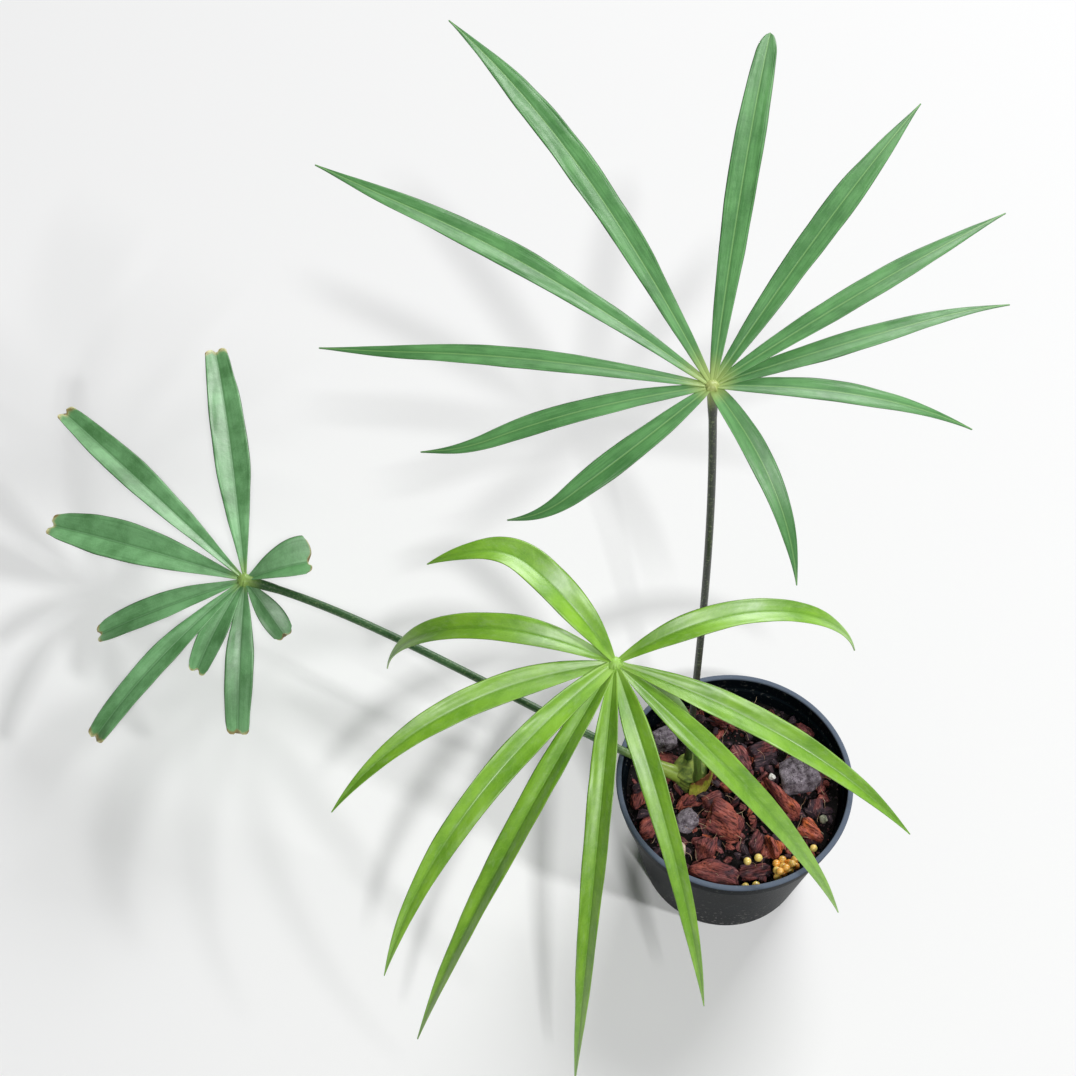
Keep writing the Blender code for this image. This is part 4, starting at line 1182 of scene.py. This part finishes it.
def make_hub(name, hub, radius, leaflets, finish):
    """The knob where the leaflets meet: a flattened ball with a ridge towards each leaflet."""
    work = bmesh.new()
    bmesh.ops.create_icosphere(work, subdivisions=5, radius=radius)
    for vertex in work.verts:
        level = Vector((vertex.co.x, vertex.co.y, 0))
        heading = math.atan2(vertex.co.y, vertex.co.x)
        ridge = sum(max(0.0, math.cos(heading - math.radians(l.heading))) ** 60 for l in leaflets)
        vertex.co += level * (0.22 * min(ridge, 1)) + vertex.co * 0.05 * noise.noise(vertex.co * 900)
        vertex.co.z *= 0.8
        vertex.co += hub
    made = new_mesh(name, [], [], finish)
    work.to_mesh(made.data)
    mark(made, "share", [1.0] * len(work.verts))
    work.free()
    smooth(made)
    return made


def make_leaf(node, slot, hub, hub_radius, leaflets, outline, petiole, blade, stalk):
    """All of one leaf, in place of its solid."""
    blades = grow(midribs(node + "_blades", hub, leaflets, outline), blade_tree, blade)
    fit(blades, slot, node)
    fit(make_petiole(node + "_petiole", petiole, stalk), slot, node)
    fit(make_hub(node + "_hub", hub, hub_radius, leaflets, stalk), slot, node)


# The upper leaf is full grown: eleven nearly flat leaflets of even mid-green with fine pale midribs, on
# a tall thin petiole that turns nearly black halfway up.
UPPER_HUB = Vector((-25, 25, 329)) * MM
UPPER_LEAFLETS = [
    Leaflet(118, 168, 12.0, 17, 18, 12, 0, 8, 0.60, 0),
    Leaflet(145, 161, 11.0, 12, 18, 10, 0, 8, 0.58, 0, hook=-8),
    Leaflet(171, 137, 8.5, 5, 24, -1, 0, 8, 0.52, 0, hook=-8),
    Leaflet(190, 102, 9.0, 0, 26, 5, 0, 8, 0.50, 0, hook=-30),
    Leaflet(221, 85, 10.0, -4, 28, -18, 0, 8, 0.50, 0, hook=-38),
    Leaflet(307, 76, 9.0, -14, 50, -22, 0, 8, 0.34, 0, fuller=1),
    Leaflet(358, 94, 8.6, 4, 40, 0, 0, 8, 0.40, 0),
    Leaflet(17, 111, 8.5, 8, 24, 9, 0, 8, 0.40, 0, hook=-6),
    Leaflet(31, 123, 9.0, 13, 20, 4, 0, 8, 0.48, 0),
    Leaflet(54, 130, 10.5, 18, 18, 0, 0, 8, 0.56, 0),
    Leaflet(81, 138, 10.8, 19, 18, -3, 0, 8, 0.62, 0.55),
]
UPPER_PETIOLE = Petiole(((-19, 11, 65), (-20, 14, 150), (-18, 20, 240), (-25, 25, 329)), 1.45, 2.2, 14)
mature_blade = blade_finish("mature_blade", {
    "Deep": colour(70, 126, 66),
    "Light": colour(104, 166, 96),
    "Vein": colour(146, 198, 118),
    "Stalk": colour(168, 190, 104),
    "Under": colour(120, 168, 110),
    "Rim": colour(84, 84, 70),
    "Midrib": 0.45,
    "Side veins": 0.0,
    "Margin veins": 0.55,
    "Streaks": 0.5,
}, {"Coat Weight": 0.25, "Coat Roughness": 0.35, "Specular IOR Level": 0.5})
mature_stalk = petiole_finish("mature_stalk",
                              colour(46, 74, 34), colour(24, 32, 22), colour(176, 190, 110))
make_leaf("leaf_upper", "mature_blade", UPPER_HUB, 2.1 * MM, UPPER_LEAFLETS,
          Outline(0.8, 1.3, 0.70, False), UPPER_PETIOLE, mature_blade, mature_stalk)


# The young leaf has only just opened: ten bright yellow-green leaflets, soft and still folded along the
# midrib, that arch over and hang, glossy where the light catches a half.
YOUNG_HUB = Vector((-54.2, -10.2, 199)) * MM
YOUNG_LEAFLETS = [
    Leaflet(139, 92, 15.0, 49, 86, 5, 0, 22, 0.40, 0, hook=38),
    Leaflet(165, 113, 12.5, 24, 107, 13, -6, 22, 0.36, 0),
    Leaflet(195, 124, 12.0, 11, 50, 28, -14, 22, 0.34, 0),
    Leaflet(222, 154, 12.0, 2, 63, 20, -20, 22, 0.32, 0, fuller=1),
    Leaflet(237, 174, 12.0, -19, 45, -5, 15, 22, 0.30, 0, fuller=1),
    Leaflet(264, 173, 11.4, -18, 54, -2, 22, 22, 0.24, 0),
    Leaflet(290, 143, 10.8, -20, 45, -3, 20, 22, 0.20, 0),
    Leaflet(326, 156, 11.0, -26, 44, 8, 22, 22, 0.30, 0),
    Leaflet(341, 136, 12.0, -5, 41, -9, 14, 22, 0.36, 0),
    Leaflet(20, 118, 11.4, 28, 104, -22, 8, 22, 0.32, 0),
]
YOUNG_PETIOLE = Petiole(((-15, 2, 65), (-18, -1, 118), (-22, -6, 168), (-54.2, -10.2, 198)),
                        1.6, 2.4, 14)
young_blade = blade_finish("young_blade", {
    "Deep": colour(104, 160, 26),
    "Light": colour(144, 198, 52),
    "Vein": colour(168, 212, 96),
    "Stalk": colour(160, 206, 84),
    "Under": colour(148, 188, 92),
    "Rim": colour(104, 112, 60),
    "Midrib": 0.1,
    "Side veins": 0.14,
    "Margin veins": 0.2,
    "Streaks": 0.15,
    "Painted sheen": 0.12,
}, {"Coat Weight": 0.8, "Coat Roughness": 0.36, "Coat IOR": 1.6, "Specular IOR Level": 0.5})
young_stalk = petiole_finish("young_stalk",
                             colour(92, 124, 44), colour(98, 140, 52), colour(158, 204, 92))
make_leaf("leaf_young", "young_blade", YOUNG_HUB, 2.6 * MM, YOUNG_LEAFLETS,
          Outline(1.0, 1.1, 0.50, False), YOUNG_PETIOLE, young_blade, young_stalk)


# The old leaf lies low over the pot's edge: nine stiff, dark, folded leaflets, most of them cut short
# long ago, with notched tips that dried to straw. Its sheath clasps the stem.
OLD_HUB = Vector((-209.8, 85.5, 95)) * MM
OLD_LEAFLETS = [
    Leaflet(98, 123, 16.5, 8, 16, 5, 0, 16, 0.54, 0.60),
    Leaflet(136, 126, 15.0, 6, 16, -3, 0, 20, 0.60, 0.62),
    Leaflet(160, 99, 20.0, 0, 18, -4, -6, 20, 0.62, 0.55),
    Leaflet(194, 73, 14.0, -10, 24, -6, -6, 20, 0.60, 0.60),
    Leaflet(222, 96, 12.5, -8, 30, 2, 0, 14, 0.55, 0.75),
    Leaflet(238, 46, 12.5, -14, 26, 4, 0, 12, 0.60, 0.70),
    Leaflet(267, 68, 12.5, -18, 30, 0, 0, 12, 0.55, 0.80),
    Leaflet(308, 31, 11.8, -12, 26, 4, 0, 12, 0.70, 0.70),
    Leaflet(12, 31, 25.0, 18, 16, -4, 0, 38, 0.88, 0.85),
]
OLD_PETIOLE = Petiole(((-22, 5, 68.5), (-75, 15, 92), (-150, 70, 92), (-209.8, 85.5, 95)), 1.75, 3.6, 22)
old_blade = blade_finish("old_blade", {
    "Deep": colour(76, 132, 72),
    "Light": colour(130, 190, 128),
    "Vein": colour(140, 190, 140),
    "Stalk": colour(150, 190, 100),
    "Under": colour(110, 150, 110),
    "Rim": colour(84, 84, 70),
    "Midrib": 0.35,
    "Side veins": 0.12,
    "Margin veins": 0.3,
    "Streaks": 0.2,
    "Dried": 1.0,
}, {"Coat Weight": 0.7, "Coat Roughness": 0.42, "Coat IOR": 1.6, "Specular IOR Level": 0.5})
old_stalk = petiole_finish("old_stalk",
                           colour(140, 164, 60), colour(52, 92, 48), colour(150, 186, 92))
make_leaf("leaf_old", "old_blade", OLD_HUB, 2.9 * MM, OLD_LEAFLETS,
          Outline(1.2, 1.1, 0.70, True), OLD_PETIOLE, old_blade, old_stalk)


# The room: a plain pale floor, two small key lamps at the front and the right, whose shadows keep the
# shape of the leaves, and a broad window behind, whose sheen lies on the halves that face it.
floor = new_mesh("floor", [(-6, -6, 0), (6, -6, 0), (6, 6, 0), (-6, 6, 0)], [(0, 1, 2, 3)])
floor_paint, tree, shader = new_finish("floor_paint", {
    "Roughness": 0.9,
    "Base Color": (0.86, 0.86, 0.86, 1),
})
floor.data.materials.append(floor_paint)


MIDDLE = Vector((-0.08, 0.03, 0.1))
LAMP_DISTANCE = 4.0


def add_light(name, towards, size, watts):
    """A square lamp that lights the middle of the plant."""
    light = bpy.data.lights.new(name, "AREA")
    light.size = size
    light.energy = watts
    lamp = bpy.data.objects.new(name, light)
    direction = Vector(towards).normalized()
    lamp.location = MIDDLE + direction * LAMP_DISTANCE
    lamp.rotation_euler = direction.to_track_quat("Z", "Y").to_euler()
    bpy.context.scene.collection.objects.link(lamp)


add_light("front_key", (0.10, -0.49, 0.87), 0.18, 58)
add_light("right_key", (0.60, -0.35, 0.72), 0.26, 58)
add_light("window", (0.45, 0.90, 0.75), 2.2, 124)
world = bpy.data.worlds.new("room")
world.use_nodes = True
sky = world.node_tree.nodes["Background"].inputs
sky["Color"].default_value = (0.95, 0.98, 1.0, 1)
sky["Strength"].default_value = 0.075
bpy.context.scene.world = world
bpy.context.scene.view_settings.view_transform = "Standard"
